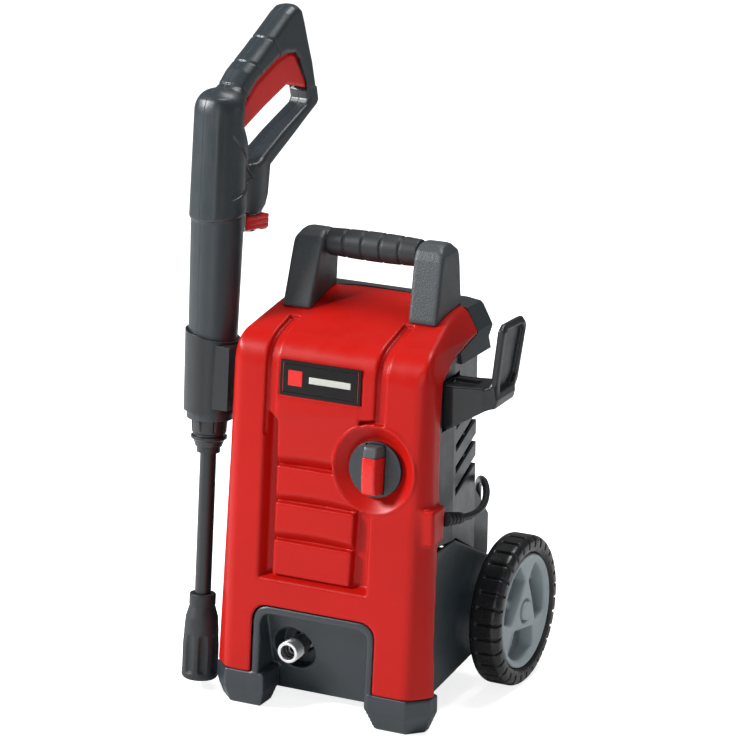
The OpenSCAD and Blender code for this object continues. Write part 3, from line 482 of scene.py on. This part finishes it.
def cover_field(x, y, z):
    w = front_depth(y, z)
    s = up_slope(z)
    base = cover_body(x, y, z)
    # cord boss on the right side
    d = smin(base, block(x, y, z, (94, 18, 188), (114.5, 50, 223), 3), 3)
    # recess with sloped walls, and the ribbed block in it
    left, right, foot, top = RECESS
    hole = outline([(left, up_slope(foot)), (right, up_slope(foot)), (right, up_slope(top)),
                    (right - 10, up_slope(top - 2)), (left + 14, up_slope(top - 14)),
                    (left, up_slope(top - 4))], x, s)
    d = smax(d, -smax(hole + w * 0.35, w - RECESS_DEEP, 3), 2.5)
    d = smin(d, ribbed_block(x, z, s, w), 1.6)
    # two grooves that climb over the bend
    for centre, reach in ((left + 5, 76), (right + 4.5, 87)):
        groove = np.maximum(np.maximum(np.abs(x - centre) - 5.5, -base - 4),
                            np.maximum(top - 30 - z, y - reach))
        d = smax(d, -groove, 1.8)
    # funnel of the switch
    radius = np.hypot(x - DIAL_X, s - up_slope(DIAL_Z))
    d = smin(d, np.maximum(radius - FUNNEL_RIM_R, np.abs(w - 7) - 8), 2.5)
    d = smax(d, -smax((radius - FUNNEL_R + w * 1.42) * 0.57, w - DIAL_DEEP, 1), 1.6)
    # shell, cut by the rear shell's edge, the base opening and the badge
    d = smax(d, -d - COVER_WALL, 0.6)
    d = np.maximum(d, outline(REAR_EDGE, y, z))
    opening = smax(np.abs(x - OPENING_X) - OPENING_HALF, z - OPENING_TOP, 18)
    d = smax(d, -opening, 3)
    badge = np.maximum(np.maximum(np.abs(x - BADGE_X) - 43.2, np.abs(s - up_slope(BADGE_Z)) - 17.6),
                       np.abs(w) - 1.2)
    return smax(d, -badge, 0.5)


cover = surface("front_cover_skin", cover_field, (-118, -4, 34), (118, 146, 400), 1.25 * COARSE, mat_red)
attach(cover, "root")
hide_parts("front_cover")


# ---------------------------------------------------------------- base with its feet and recessed panel
CUP_R, CUP_BACK_Y = 21.8, 50.5           # round cup of the hose nut, and its rear wall
TUB_SIDE = [(30, 60), (43, 24), (190, 40), (196, 48), (196, 121.5), (100, 169.5), (30, 169.5)]


def opening_frame(x, z, w):
    """The frame round the opening, set just behind the cover's edge."""
    across = np.abs(x - OPENING_X)
    outer = smax(across - (OPENING_HALF - 0.4), z - (OPENING_TOP - 0.4), 18)
    inner = smax(across - 57, z - 96.5, 12)
    frame_part = smax(smax(outer, -inner, 3), 1.1 - w, 2.5)
    return smax(np.maximum(frame_part, w - 32), 19 - z, 3)


def outlet_panel(x, y, z):
    """The panel that falls back towards its foot, with the cup for the hose nut."""
    depth = (y - 17 - (100 - z) * 0.27) * 0.965
    radius = np.hypot(x - OUTLET_X, z - OUTLET_Z)
    panel = smax(smax(np.abs(depth - 2) - 2, np.abs(x - OPENING_X) - 60, 1), np.abs(z - 54.5) - 45.5, 2)
    panel = smax(panel, CUP_R - radius, 2.2)
    wall = np.maximum(np.abs(radius - CUP_R - 1.4) - 1.5, np.maximum(-depth, y - CUP_BACK_Y - 1.5))
    rear = np.maximum(np.maximum(radius - 24, np.abs(y - CUP_BACK_Y) - 1.5), 10.2 - radius)
    return smin(panel, np.minimum(wall, rear), 1)


def base_field(x, y, z):
    ax = np.abs(x)
    plan = outline([(55.5, -0.5), (97, -0.5), (114.5, 17), (114.5, 34), (55.5, 34)], ax, y)
    foot = smax(plan + 0.34 * np.clip(18 - z, 0, 18), np.abs(z - 18.35) - 18.35, 3)
    d = smin(smin(foot, opening_frame(x, z, front_depth(y, z)), 2), outlet_panel(x, y, z), 2)
    # tub behind, open at its top, with the axle's bosses and the motor's cradle
    side = outline(TUB_SIDE, y, z)
    room = np.maximum(np.maximum(ax - 97, y - 193), np.interp(y, [44, 190], [27, 43]) - z)
    tub = np.maximum(smax(ax - 100, side, 4), -room)
    axle = np.hypot(y - AXLE_Y, z - TYRE_R)
    boss = smax(smax(axle - 12, np.abs(ax - 97) - 9, 1.5), AXLE_BORE_R - axle, 0.4)
    cradle = np.maximum(np.abs(np.hypot(x, y - 112) - 43) - 7, np.abs(z - 48) - 4)
    d = np.minimum(smin(d, smin(tub, boss, 2), 1), cradle)
    inlet = np.maximum(np.hypot(x - 30, z - 96) - 12.1, 190 - y)
    return smax(smax(d, -inlet, 0.4), -np.maximum(axle - AXLE_BORE_R, 80 - ax), 0.4)


base = surface("base_body", base_field, (-116, -2, -1), (116, 198, 172), 1.35 * COARSE, mat_dark)
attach(base, "root")
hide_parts("base_chassis")


# ---------------------------------------------------------------- switch, badge, outlet
DIAL_S, BADGE_S = up_slope(DIAL_Z), up_slope(BADGE_Z)
BAR_TOP = 12.5
BAR_BOX = ((DIAL_X - 12, DIAL_S - 24, -8), (DIAL_X + 12, DIAL_S + 26, 14))
POINTER = DIAL_S + 13.5


def bar_form(x, s, h):
    """The switch's bar: narrower outwards, its top rounded off."""
    d = block(x, s, h, (DIAL_X - 10.4, DIAL_S - 22.4, -6.6), (DIAL_X + 10.4, DIAL_S + 24.3, BAR_TOP), 2.5)
    d = smax(d, np.abs(x - DIAL_X) * 0.97 - 9.6 + (h + 6.6) * 0.17, 2)
    return smax(d, h - BAR_TOP + ((s - DIAL_S) / 24) ** 2 * 3.5, 2.5)


bar = surface("switch_bar", lambda x, s, h: smax(bar_form(x, s, h), s - POINTER, 0.4),
              *BAR_BOX, 0.5 * COARSE, mat_trim_painted_light, front_place)
pointer = surface("switch_pointer", lambda x, s, h: smax(bar_form(x, s, h) + 0.25, POINTER + 0.3 - s, 0.4),
                  *BAR_BOX, 0.5 * COARSE, mat_pointer, front_place)
for piece in (bar, pointer):
    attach(piece, "dial")
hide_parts("dial_bar")


def mark_field(x, s, h):
    return block(x, s, h, (-42, BADGE_S - 7.5, 0.2), (-27, BADGE_S + 7.5, 1.3), 0.5)


def name_bar_field(x, s, h):
    return block(x, s, h, (-20, BADGE_S - 3.2, 0.2), (24, BADGE_S + 3.2, 1.2), 0.4)


def line_field(x, s, h):
    """A fine frame line round the badge."""
    inset = np.maximum(np.abs(x - BADGE_X) - 39.6, np.abs(s - BADGE_S) - 14.4)
    return smax(np.abs(inset) - 0.3, np.abs(h - 0.4) - 0.5, 0.2)


badge_mark = surface("badge_mark", mark_field, (-44, BADGE_S - 9, -1), (-25, BADGE_S + 9, 2),
                     0.3 * COARSE, mat_trim_painted_light, front_place)
badge_bar = surface("badge_bar", name_bar_field, (-22, BADGE_S - 5, -1), (26, BADGE_S + 5, 2),
                    0.3 * COARSE, mat_mesh, front_place)
badge_line = surface("badge_line", line_field, (-50, BADGE_S - 17, -1), (34, BADGE_S + 17, 2),
                     0.35 * COARSE, mat_trim_painted_light, front_place)
for piece in (badge_mark, badge_bar, badge_line):
    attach(piece, "root")


THREAD_PITCH, THREAD_R = 1.5, 11.0
THREAD_END_Y, CAVITY_END_Y = 28.0, 26.0  # the thread's rear end, and the end of the wide front bore


def outlet_field(x, y, z):
    a, c = x - OUTLET_X, z - OUTLET_Z
    r = np.hypot(a, c)
    turn = (y / THREAD_PITCH - np.arctan2(c, a) / (2 * math.pi)) % 1
    crest = THREAD_R - 1.5 * np.abs(turn - 0.5)
    lead_in = 9.6 + (y - 12) * 0.9
    profile = np.where(y < THREAD_END_Y, np.minimum(crest, lead_in), 9.9)
    body = smax(r - profile, np.abs(y - OUTLET_MID_Y) - OUTLET_HALF, 0.5)
    return smax(body, -np.where(y < CAVITY_END_Y, r - 7.5, r - 4.5), 0.4)


outlet = surface("outlet_thread_body", outlet_field, (-48, 12, 46), (-24, 44, 70), 0.33 * COARSE, mat_zinc)
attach(outlet, "root")
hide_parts("outlet_fitting")


# ---------------------------------------------------------------- hose hook
ARM_FRONT = [(94, 290.5), (106, 290.5), (150, 317), (153, 324), (148, 334), (94, 334)]
ARM_PLAN = [(94, 62), (112, 62), (148, 71), (156, 71), (156, 112), (112, 102), (94, 102)]
UPRIGHT_FRONT = [(143.5, 316), (150.5, 316), (156.6, 388), (154.5, 395), (150, 395), (145, 334)]
UPRIGHT_SIDE = [(70, 316), (112, 318), (123, 332), (131, 384), (124, 394), (84, 396), (76, 390)]
DISH_SIDE = [(80, 330), (110, 331), (117, 339), (125.5, 381), (120, 387), (87, 389), (82, 383)]


def hook_field(x, y, z):
    arm = smax(outline(ARM_FRONT, x, z), outline(ARM_PLAN, x, y), 2.5)
    upright = smax(outline(UPRIGHT_FRONT, x, z), outline(UPRIGHT_SIDE, y, z), 3)
    outer = 149 + (z - 300) * 0.0864
    dish = smax(outline(DISH_SIDE, y, z), outer - 4.4 - x, 1)
    d = smax(smin(arm, upright, 7), -dish, 1.5)
    channel = block(x, y, z, (99, 70, 330), (128, 92, 345), 2)
    return smax(smax(d, -channel, 1.2), -block(x, y, z, (88, 70, 298), (112, 94, 322), 1), 0.8)


hook = surface("hook_body", hook_field, (93, 60, 289), (158, 133, 397), 0.9 * COARSE, mat_black_dark)
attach(hook, "root")
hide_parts("hose_hook")


# ---------------------------------------------------------------- carrying handle and grip
POST_SIDE = [(87.5, 360), (87.5, 385), (104, 440), (108, 448), (116, 453.2), (125, 454.5), (134, 452.5),
             (141, 446), (144, 438), (145.5, 388), (145.5, 360)]
POST_FRONT = [(53, 360), (48.6, 440), (49, 450), (51, 455), (69, 457.5), (75, 453), (79.5, 444), (82, 380),
              (82, 360)]
GRIP_SPAN, GRIP_BANDS = 98.0, 5


def handle_field(x, y, z):
    ax = np.abs(x)
    post = smax(outline(POST_SIDE, y, z), outline(POST_FRONT, ax, z), 4)
    bar = np.maximum(np.hypot(y - GRIP_Y, z - GRIP_Z) - (GRIP_BORE_R - 0.1), ax - 52)
    d = smin(post, bar, 2)
    d = np.maximum(d, -(cover_body(x, y, z) - 0.2))
    return np.maximum(d, np.where(y > RIDGE_Y, 384.5 - z, -1e3))


def grip_field(x, y, z):
    pitch = GRIP_SPAN / GRIP_BANDS
    groove = np.abs((x + 49) / pitch - np.round((x + 49) / pitch)) * pitch
    radius = 14.5 - 1.6 * np.clip(1 - groove / 1.7, 0, 1) - 0.006 * x * x / 10
    from_axis = np.hypot(y - GRIP_Y, z - GRIP_Z)
    d = smax(from_axis - radius, -(from_axis - GRIP_BORE_R), 0.5)
    return smax(d, np.abs(x) - 48.4, 1.6)


handle = surface("handle_body", handle_field, (-84, 84, 372), (84, 148, 460), 1.2 * COARSE, mat_grain)
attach(handle, "root")
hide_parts("carry_handle")
grip = surface("grip_rubber", grip_field, (-50, 108, 425), (50, 140, 457), 0.8 * COARSE, mat_grip)
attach(grip, "root")
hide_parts("grip_sleeve")


# ---------------------------------------------------------------- wheels
LUGS, POCKETS = 30, 3
BEAD_R = 56.8                            # where the tyre sits on the rim
POCKET_START, POCKET_END = 18.0, 50.0


def wheel_fields(side):
    """Tyre and rim of the wheel on one side, as fields of machine coordinates."""
    def local(x, y, z):
        return side * x - WHEEL_X, y - AXLE_Y, z - TYRE_R

    def tyre(x, y, z):
        a, b, c = local(x, y, z)
        r = np.hypot(b, c)
        d = slab(np.abs(r - 66) - 9, a, TYRE_W / 2, 7.5)
        angle = np.arctan2(b, c) * LUGS / (2 * math.pi)
        cut = np.abs(angle - np.round(angle)) * 2 * math.pi * TYRE_R / LUGS - 1.15
        groove = np.maximum(cut, np.maximum(-d - 2.2, np.maximum(-a - 7, 64 - r)))
        d = smax(d, -groove, 0.8)
        # a row of small pits on the side wall
        dots = np.hypot((angle - np.floor(angle) - 0.5) * 2 * math.pi * 62 / LUGS, r - 62) - 0.9
        return smax(d, -np.maximum(dots, 15 - a), 0.4)

    def rim(x, y, z):
        a, b, c = local(x, y, z)
        r = np.hypot(b, c)
        web = smax(np.abs(a - 4.5 + 0.02 * r) - 9.5 + 0.03 * r, r - BEAD_R, 2)
        barrel = smax(np.abs(r - 54.6) - 2.3, np.abs(a) - 14.2, 1.2)
        hub = smax(r - 16, np.abs(a + 2) - 13, 1)
        d = smin(smin(web, barrel, 2.5), hub, 2)
        # three wide pockets, each crossed by a low rib
        angle = np.arctan2(b, c) + 0.873
        turn = 2 * math.pi / POCKETS
        angle = angle - np.round(angle / turn) * turn
        p, q = r * np.cos(angle), r * np.sin(angle)
        pocket = smax(np.abs(q) - 25 - (p - POCKET_START) * 0.3, r - POCKET_END, 5)
        pocket = smax(pocket, POCKET_START - p, 3)
        rib = smax(np.abs(q * 0.94 + 3) - 3.4, a - 2.5 + (p - POCKET_START) * 0.16, 2)
        pocket = smax(smax(pocket, -rib, 1.5), -8 - a, 1.5)
        d = smax(d, -pocket, 1.6)
        dimple = np.maximum(np.abs(r - 53) - 0.5, 12.6 - a)
        d = smax(d, -dimple, 0.5)
        # hub cap, and the axle's bore behind it
        cap = smax(r - 9.5, np.abs(a - 12) - 3.8, 2.4)
        d = smin(smax(d, -np.maximum(r - 12, 9 - a), 1), cap, 0.8)
        return smax(d, -np.maximum(r - 7.6, a - 9), 0.5)

    return tyre, rim


for side, word in ((-1, "left"), (1, "right")):
    tyre_field, rim_field = wheel_fields(side)
    lo = (min(side * 107, side * 143), 108, -2)
    hi = (max(side * 107, side * 143), 262, 152)
    for kind, field, material in (("tyre", tyre_field, mat_tyre), ("rim", rim_field, mat_rim)):
        piece = surface(f"{kind}_{word}_body", field, lo, hi, 1.1 * COARSE, material)
        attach(piece, f"wheel_{word}")
        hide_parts(f"{kind}_{word}")


# ---------------------------------------------------------------- gun
# outlines in the gun's (u, w)
GRIP_OUTLINE = [(-24, 560), (-22, 572), (-12, 581), (2, 582), (18, 600), (43, 619), (70, 641), (82, 651),
                (91, 656.5), (100, 657), (107, 652), (112, 641), (120, 620), (128, 600), (134, 580),
                (139, 561), (136, 556), (102, 531), (64, 504), (62, 476), (58, 465), (48, 460), (20, 460),
                (-24, 460)]
LOOP = [(22, 513), (33, 503), (80, 535), (119, 558.5), (121.5, 563), (116, 580), (104, 602), (95, 609.5),
        (82, 608.5), (67, 604), (36, 585.5), (18, 567), (13, 545)]
TRIGGER = [(9, 551), (9, 543), (13, 539), (22, 541), (54, 560.5), (90, 580), (119.5, 573.5), (119, 580),
           (99, 608.5), (90, 609.5), (72, 603.5), (42, 585)]
TRIGGER_BLADE = [(28, 572), (42, 590), (72, 608.5), (90, 614), (101, 612), (108, 600), (104, 592),
                 (60, 580)]
TRIGGER_ROOM = [(2, 562), (0, 552), (2, 540), (14, 530), (36, 548), (118, 568), (122.5, 576), (121, 588),
                (107, 616), (97, 627), (83, 627), (64, 617), (32, 597)]
LOCK_POCKET = [(93.5, 580), (93.5, 592), (100, 594), (118.5, 587.5), (126, 572), (95, 572)]
INSET = [(-12, 541), (34, 494), (-10, 478)]
GRIP_RINGS = (((54, 628), (78, 598)), ((27, 607), (51, 577)), ((3, 590), (27, 560)))
SCREW_WELLS = ((-10, 566), (60, 620), (98, 640), (128, 568), (54, 504))
TRIGGER_PIN = (14, 548)
BARREL_FOOT, BARREL_TOP = 262, 470
GUN_WALL = 4.2
SEAM_LAP, SEAM_GAP = 1.5, 0.15           # the right shell's tongue under the left shell's edge


def gun_body(u, v, w):
    """The gun's outer form before its openings: barrel, domed housing, grip with its guard, hose neck."""
    half = np.interp(u, [20, 120], [15.6, 13.0])
    flat = smax(outline(GRIP_OUTLINE, u, w), -outline(LOOP, u, w), 4)
    rounding = 4 + 4 * np.clip((w - 552 - 0.3 * u) / 20, 0, 1) * np.clip((100 - u) / 20, 0, 1)
    plate = slab(flat, v, half, rounding)
    # the grip's back is crowned
    crown = outline(GRIP_OUTLINE, u, w) + 0.028 * v * v - 0.6
    plate = smax(plate, np.where(w > 575, crown, plate - 1), 3)
    r = np.hypot(u, v)
    barrel = np.maximum(r - np.interp(w, [262, 458], [22.6, 25.5]),
                        np.maximum(BARREL_FOOT - w, w - BARREL_TOP))
    skirt = 462 - w + 0.22 * u
    dome = w - 583 + r * r * 0.012
    housing = smax(smax(r - np.interp(w, [460, 580], [27.4, 26]), skirt, 2.5), dome, 14)
    # slanted flanks that run into the grip
    flank = 0.585 * u + 0.81 * np.abs(v) - np.interp(w, [500, 545], [38, 21.5])
    housing = smax(housing, flank, 2)
    d = smin(smin(barrel, housing, 0.8), plate, 4)
    neck = smax(smax(np.hypot(u - SOCKET_U, v) - 15, np.abs(w - 478) - 30, 3), 459 - w, 2)
    return smin(d, neck, 6)


def grip_ring(u, v, w, body, start, end):
    """One shallow groove across the grip, from start to end in (u, w)."""
    (au, aw), (bu, bw) = start, end
    length = math.hypot(bu - au, bw - aw)
    t = ((u - au) * (bw - aw) - (w - aw) * (bu - au)) / length + 0.014 * v * v
    reach = ((u - au) * (bu - au) + (w - aw) * (bw - aw)) / length
    return np.maximum(np.maximum(np.abs(t) - 0.9, -body - 1.3), np.abs(reach) - 30)


def gun_shell(sign):
    """The left (1) or right (-1) half of the gun's housing, as a field of gun coordinates."""
    def field(u, v, w):
        body = gun_body(u, v, w)
        d = smax(body, -body - GUN_WALL, 0.5)
        d = smax(d, -slab(outline(TRIGGER_ROOM, u, w), v, 10.5, 0.5), 0.8)
        d = smax(d, -np.maximum(np.hypot(u - SOCKET_U, v) - 11.3, w - 470), 0.8)
        d = smax(d, -block(u, v, w, (24, -10, 440), (74, 10, 460), 1), 0.8)
        d = smax(d, -smax(outline(INSET, u, w), -body - 1.5, 0.8), 0.6)
        for start, end in GRIP_RINGS:
            d = smax(d, -grip_ring(u, v, w, body, start, end), 0.7)
        if sign < 0:
            return np.maximum(d + SEAM_GAP * np.clip((v + 0.3) / 0.3, 0, 1), v - SEAM_LAP)
        for su, sw in SCREW_WELLS:
            d = smax(d, -np.maximum(np.hypot(u - su, w - sw) - 3.2, 9 - v), 0.5)
        return np.maximum(d, -0.35 - v)
    return field


for sign, word in ((1, "left"), (-1, "right")):
    lo = (-29, min(-2, sign * 29), 258)
    hi = (141, max(2, sign * 29), 660)
    shell = surface(f"gun_shell_{word}_body", gun_shell(sign), lo, hi, 0.9 * COARSE, mat_dark,
                    gun_place)
    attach(shell, "gun")
    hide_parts(f"gun_shell_{word}")


def trigger_field(u, v, w):
    d = slab(outline(TRIGGER, u, w), v, 9.8, 2.5)
    d = np.minimum(d, slab(outline(TRIGGER_BLADE, u, w), v, 8.5, 1))
    pin = np.hypot(u - TRIGGER_PIN[0], w - TRIGGER_PIN[1])
    d = smax(d, -np.maximum(pin - 2.1, np.abs(v) - 30), 0.4)
    return smax(d, -np.maximum(outline(LOCK_POCKET, u, w), np.abs(v) - 5.5), 0.8)


trigger = surface("trigger_lever", trigger_field, (4, -11, 536), (122, 11, 616), 0.8 * COARSE, mat_trim_painted_light,
                  gun_place)
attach(trigger, "trigger")
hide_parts("trigger")


CLIP_W = 450


def clip_field(u, v, w):
    """A frame open at its rear that stands round the hose socket, with a thumb tab below it."""
    frame_part = block(u, v, w, (29, -13.4, 443), (64, 13.4, 457), 1.5)
    tab = block(u, v, w, (54, -9, 440.5), (67.5, 9, 446), 1.2)
    inside = np.maximum(np.maximum(u - 58.6, np.abs(v) - 11.2), np.abs(w - CLIP_W) - 20)
    d = smin(frame_part, tab, 2)
    ribs = np.maximum(np.abs(np.abs(w - CLIP_W) - 2.6) - 0.5, 12.8 - np.abs(v))
    return smax(smax(d, -inside, 0.6), -ribs, 0.5)


clip = surface("clip_body", clip_field, (27, -15, 439), (69, 15, 459), 0.5 * COARSE, mat_trim_painted_light, gun_place)
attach(clip, "clip")
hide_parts("hose_clip")


NOZZLE_HALF, FLUTES = 43, 8
NOZZLE_HEIGHTS = [0, 3, 34, 62, 74, 75, 86]
NOZZLE_RADII = [16, 18, 18, 16, 12.6, 13, 13]


def nozzle_field(u, v, w):
    r = np.hypot(u, v)
    profile = np.interp(w, NOZZLE_HEIGHTS, NOZZLE_RADII)
    d = smax(r - profile, np.abs(w - NOZZLE_HALF) - NOZZLE_HALF, 1.5)
    angle = np.arctan2(v, u) * FLUTES / (2 * math.pi)
    arc = np.abs(angle - np.round(angle)) * 2 * math.pi * r / FLUTES
    flute = smax(np.hypot(arc, r - 20.5) - 5.0, np.abs(w - 27) - 20, 4)
    d = smax(d, -flute, 1.2)
    # spray cone, water bore and the lance's socket
    d = smax(d, -np.maximum(r - 11 + w * 0.66, w - 12), 0.6)
    d = smax(d, -np.maximum(r - 3, w - 90), 0.5)
    return smax(d, -np.maximum(r - 8.1, 79.9 - w), 0.4)


nozzle = surface("nozzle_shell", nozzle_field, (-19, -19, -1), (19, 19, 88), 0.7 * COARSE, mat_grip,
                 gun_place)
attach(nozzle, "nozzle")
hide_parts("nozzle_body")

# ---------------------------------------------------------------- mains cord
CORD_D = 7.0
CORD_ROUTE = [(119.5, 68, 204), (122, 82, 202), (123, 97, 201), (122, 112, 202), (119, 126, 205),
              (114, 139, 209), (107, 151, 212), (99, 163, 211), (91, 175, 207), (84, 187, 199),
              (79, 197, 186), (76, 204, 170), (75, 208, 152), (75, 210, 132), (75, 212, 108),
              (75, 214, 84), (74, 217, 62), (70, 220, 42), (61, 222, 25), (47, 223, 13), (30, 223, 7),
              (10, 222, 4), (-12, 221.6, 3.6), (-36, 221.6, 3.6)]
COIL = (-40.0, 282.0)                    # the coil's middle
COIL_LAYERS, COIL_LANES = 3, 5
COIL_TURNS = COIL_LAYERS * COIL_LANES
FLOOR_LINE = 3.6                         # the centre line's height on the floor, with a little air
COIL_R = 64.0 - FLOOR_LINE               # the outermost turn's centre line
LAYER_RISE = CORD_D + 0.02
LEAD_Z = FLOOR_LINE + COIL_LAYERS * LAYER_RISE
LEAD_BEND, LEAD_TURN = 29.5, 149         # radius and degrees of the last bend, into the plug's tail
TURN_STEPS, RUN_STEPS, BEND_STEPS, CLIMB_STEPS = 36, 20, 16, 21
PLUG_TURN = math.radians(20)
PLUG_AT, PLUG_Z = 16.0, 41.0             # the tail's end beside the coil's middle, and its height


def spline(points, steps):
    """Catmull-Rom points through the given ones."""
    p = np.array([points[0], *points, points[-1]], float)
    out = []
    for i in range(1, len(p) - 2):
        a, b, c, d = p[i - 1:i + 3]
        for k in range(steps):
            t = k / steps
            out.append(0.5 * (2 * b + t * (c - a) + t * t * (2 * a - 5 * b + 4 * c - d)
                              + t ** 3 * (3 * b - a - 3 * c + d)))
    out.append(p[-1])
    return out


def ease(t):
    """0 to 1 with flat ends."""
    t = min(1, max(0, t))
    return t * t * (3 - 2 * t)


def beside_coil(p, q, z):
    """A point along and across the plug's axis, from the coil's middle, in machine millimetres."""
    return (COIL[0] + p * math.cos(PLUG_TURN) - q * math.sin(PLUG_TURN),
            COIL[1] + p * math.sin(PLUG_TURN) + q * math.cos(PLUG_TURN), z)


def lead_bend(degrees):
    """A point of the last bend along and across the plug's axis; it ends at 0 degrees, in the tail."""
    theta = math.radians(degrees)
    return PLUG_AT + 1 + LEAD_BEND * math.sin(theta), LEAD_BEND - LEAD_BEND * math.cos(theta)


def coil_points():
    """Three layers of five turns, then outwards on top and round into the plug's tail."""
    turns = []
    for i in range(COIL_TURNS * TURN_STEPS):
        turn = i / TURN_STEPS
        k = int(turn)
        layer, lane = divmod(k, COIL_LANES)
        last_lane = lane == COIL_LANES - 1
        moved = ease((turn - k - 0.5) / 0.5)
        rise = moved if last_lane else 0
        lane += 0 if last_lane else moved
        # the middle layer runs outwards again
        radius = COIL_R - CORD_D * (COIL_LANES - 1 - lane if layer == 1 else lane)
        turns.append((radius, -90 - 360 * turn, FLOOR_LINE + LAYER_RISE * (layer + rise)))
    # on top, from the inmost turn out to where the last bend starts
    inmost = COIL_R - (COIL_LANES - 1) * CORD_D
    out_p, out_q = lead_bend(LEAD_TURN)
    outer = math.hypot(out_p, out_q)
    first = -90 - 360 * COIL_TURNS
    last = math.degrees(math.atan2(out_q, out_p) + PLUG_TURN) - 360 * (COIL_TURNS + 1)
    for i in range(RUN_STEPS):
        t = i / RUN_STEPS
        turns.append((inmost + (outer - inmost) * ease(t), first + (last - first) * t, LEAD_Z))
    points = [(COIL[0] + r * math.cos(math.radians(a)), COIL[1] + r * math.sin(math.radians(a)), z)
              for r, a, z in turns]
    for i in range(BEND_STEPS + 1):
        points.append(beside_coil(*lead_bend(LEAD_TURN * (1 - i / BEND_STEPS)), LEAD_Z))
    # the last stretch climbs from the coil to the plug's tail
    start = len(points) - CLIMB_STEPS
    for i in range(CLIMB_STEPS):
        x, y, z = points[start + i]
        points[start + i] = (x, y, z + (PLUG_Z - z) * ease((i + 1) / CLIMB_STEPS))
    points.append(beside_coil(PLUG_AT - 3, 0, PLUG_Z))
    return points


def plug_place(points):
    """Coordinates along, across and above the plug's axis to metres."""
    p, q, h = np.asarray(points, float).T
    c, t = math.cos(PLUG_TURN), math.sin(PLUG_TURN)
    return place(np.stack([COIL[0] + p * c - q * t, COIL[1] + p * t + q * c, PLUG_Z + h], 1))


PLUG_FLUTES, RING_PITCH = 16, 4.4


def plug_field(p, q, h):
    r = np.hypot(q, h)
    angle = np.arctan2(q, h) * PLUG_FLUTES / (2 * math.pi)
    grip_cut = 0.8 * np.clip(1 - np.abs(angle - np.round(angle)) * 5, 0, 1)
    head = smax(r - 17.8 + np.where(p > -19, grip_cut, 0), np.abs(p + 14) - 8, 2.5)
    ring = np.abs(p / RING_PITCH - np.round(p / RING_PITCH)) * RING_PITCH
    ring_cut = 0.9 * np.clip(1 - ring / 1.1, 0, 1) * (p > -2)
    tail = smax(r - np.interp(p, [-6, PLUG_AT], [14, 5.6]) + ring_cut, np.abs(p - 3) - 13, 1)
    return smax(smin(head, tail, 3), -np.maximum(r - 3.2, 8 - p), 0.3)


def pins_field(p, q, h):
    return smax(np.hypot(np.abs(q) - 9.5, h) - 2.4, np.abs(p + 31) - 10, 2)


plug = surface("plug_body", plug_field, (-24, -19, -19), (18, 19, 19), 0.7 * COARSE, mat_rubber,
               plug_place)
pins = surface("plug_pins", pins_field, (-42, -13, -3), (-20, 13, 3), 0.5 * COARSE, mat_steel, plug_place)
for piece in (plug, pins):
    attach(piece, "root")
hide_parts("mains_plug")

route = spline(CORD_ROUTE, 2)[:-1] + coil_points()[1:]
curve = bpy.data.curves.new("mains_cord_line", "CURVE")
curve.dimensions = "3D"
curve.bevel_depth = CORD_D / 2000
curve.bevel_resolution = 4
curve.use_fill_caps = True
line = curve.splines.new("POLY")
line.points.add(len(route) - 1)
for point, at in zip(line.points, place(route)):
    point.co = (*at, 1)
line.use_smooth = True
curve.materials.append(mat_cable)
cord = bpy.data.objects.new("mains_cord_line", curve)
scene.collection.objects.link(cord)
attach(cord, "root")
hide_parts("mains_cord", "cord_coil")

# ---------------------------------------------------------------- floor
FLOOR_HALF, FLOOR_GLOW = 20, 0.8


def pale_floor():
    """White ground that glows a little for the camera, and can't be seen from below."""
    shader = Shader("pale_floor")
    drift = shader.spread(shader.noise(3, 3), 0.3, 0.7, 0, 1)
    seen = shader.node("ShaderNodeLightPath").outputs["Is Camera Ray"]
    below = shader.node("ShaderNodeNewGeometry").outputs["Backfacing"]
    return shader.finish(Alpha=shader.maths("SUBTRACT", 1.0, below),
                         Base_Color=shader.mix(drift, (0.88, 0.88, 0.88), (0.9, 0.9, 0.9)),
                         Roughness=0.6, Emission_Color=(1, 1, 1, 1),
                         Emission_Strength=shader.maths("MULTIPLY", seen, FLOOR_GLOW))


floor_mesh = bpy.data.meshes.new("floor")
corners = [(u * FLOOR_HALF, v * FLOOR_HALF, 0) for u, v in ((-1, -1), (1, -1), (1, 1), (-1, 1))]
floor_mesh.from_pydata(corners, [], [(0, 1, 2, 3)])
floor_mesh.materials.append(pale_floor())
floor = bpy.data.objects.new("floor", floor_mesh)
scene.collection.objects.link(floor)

note_size()
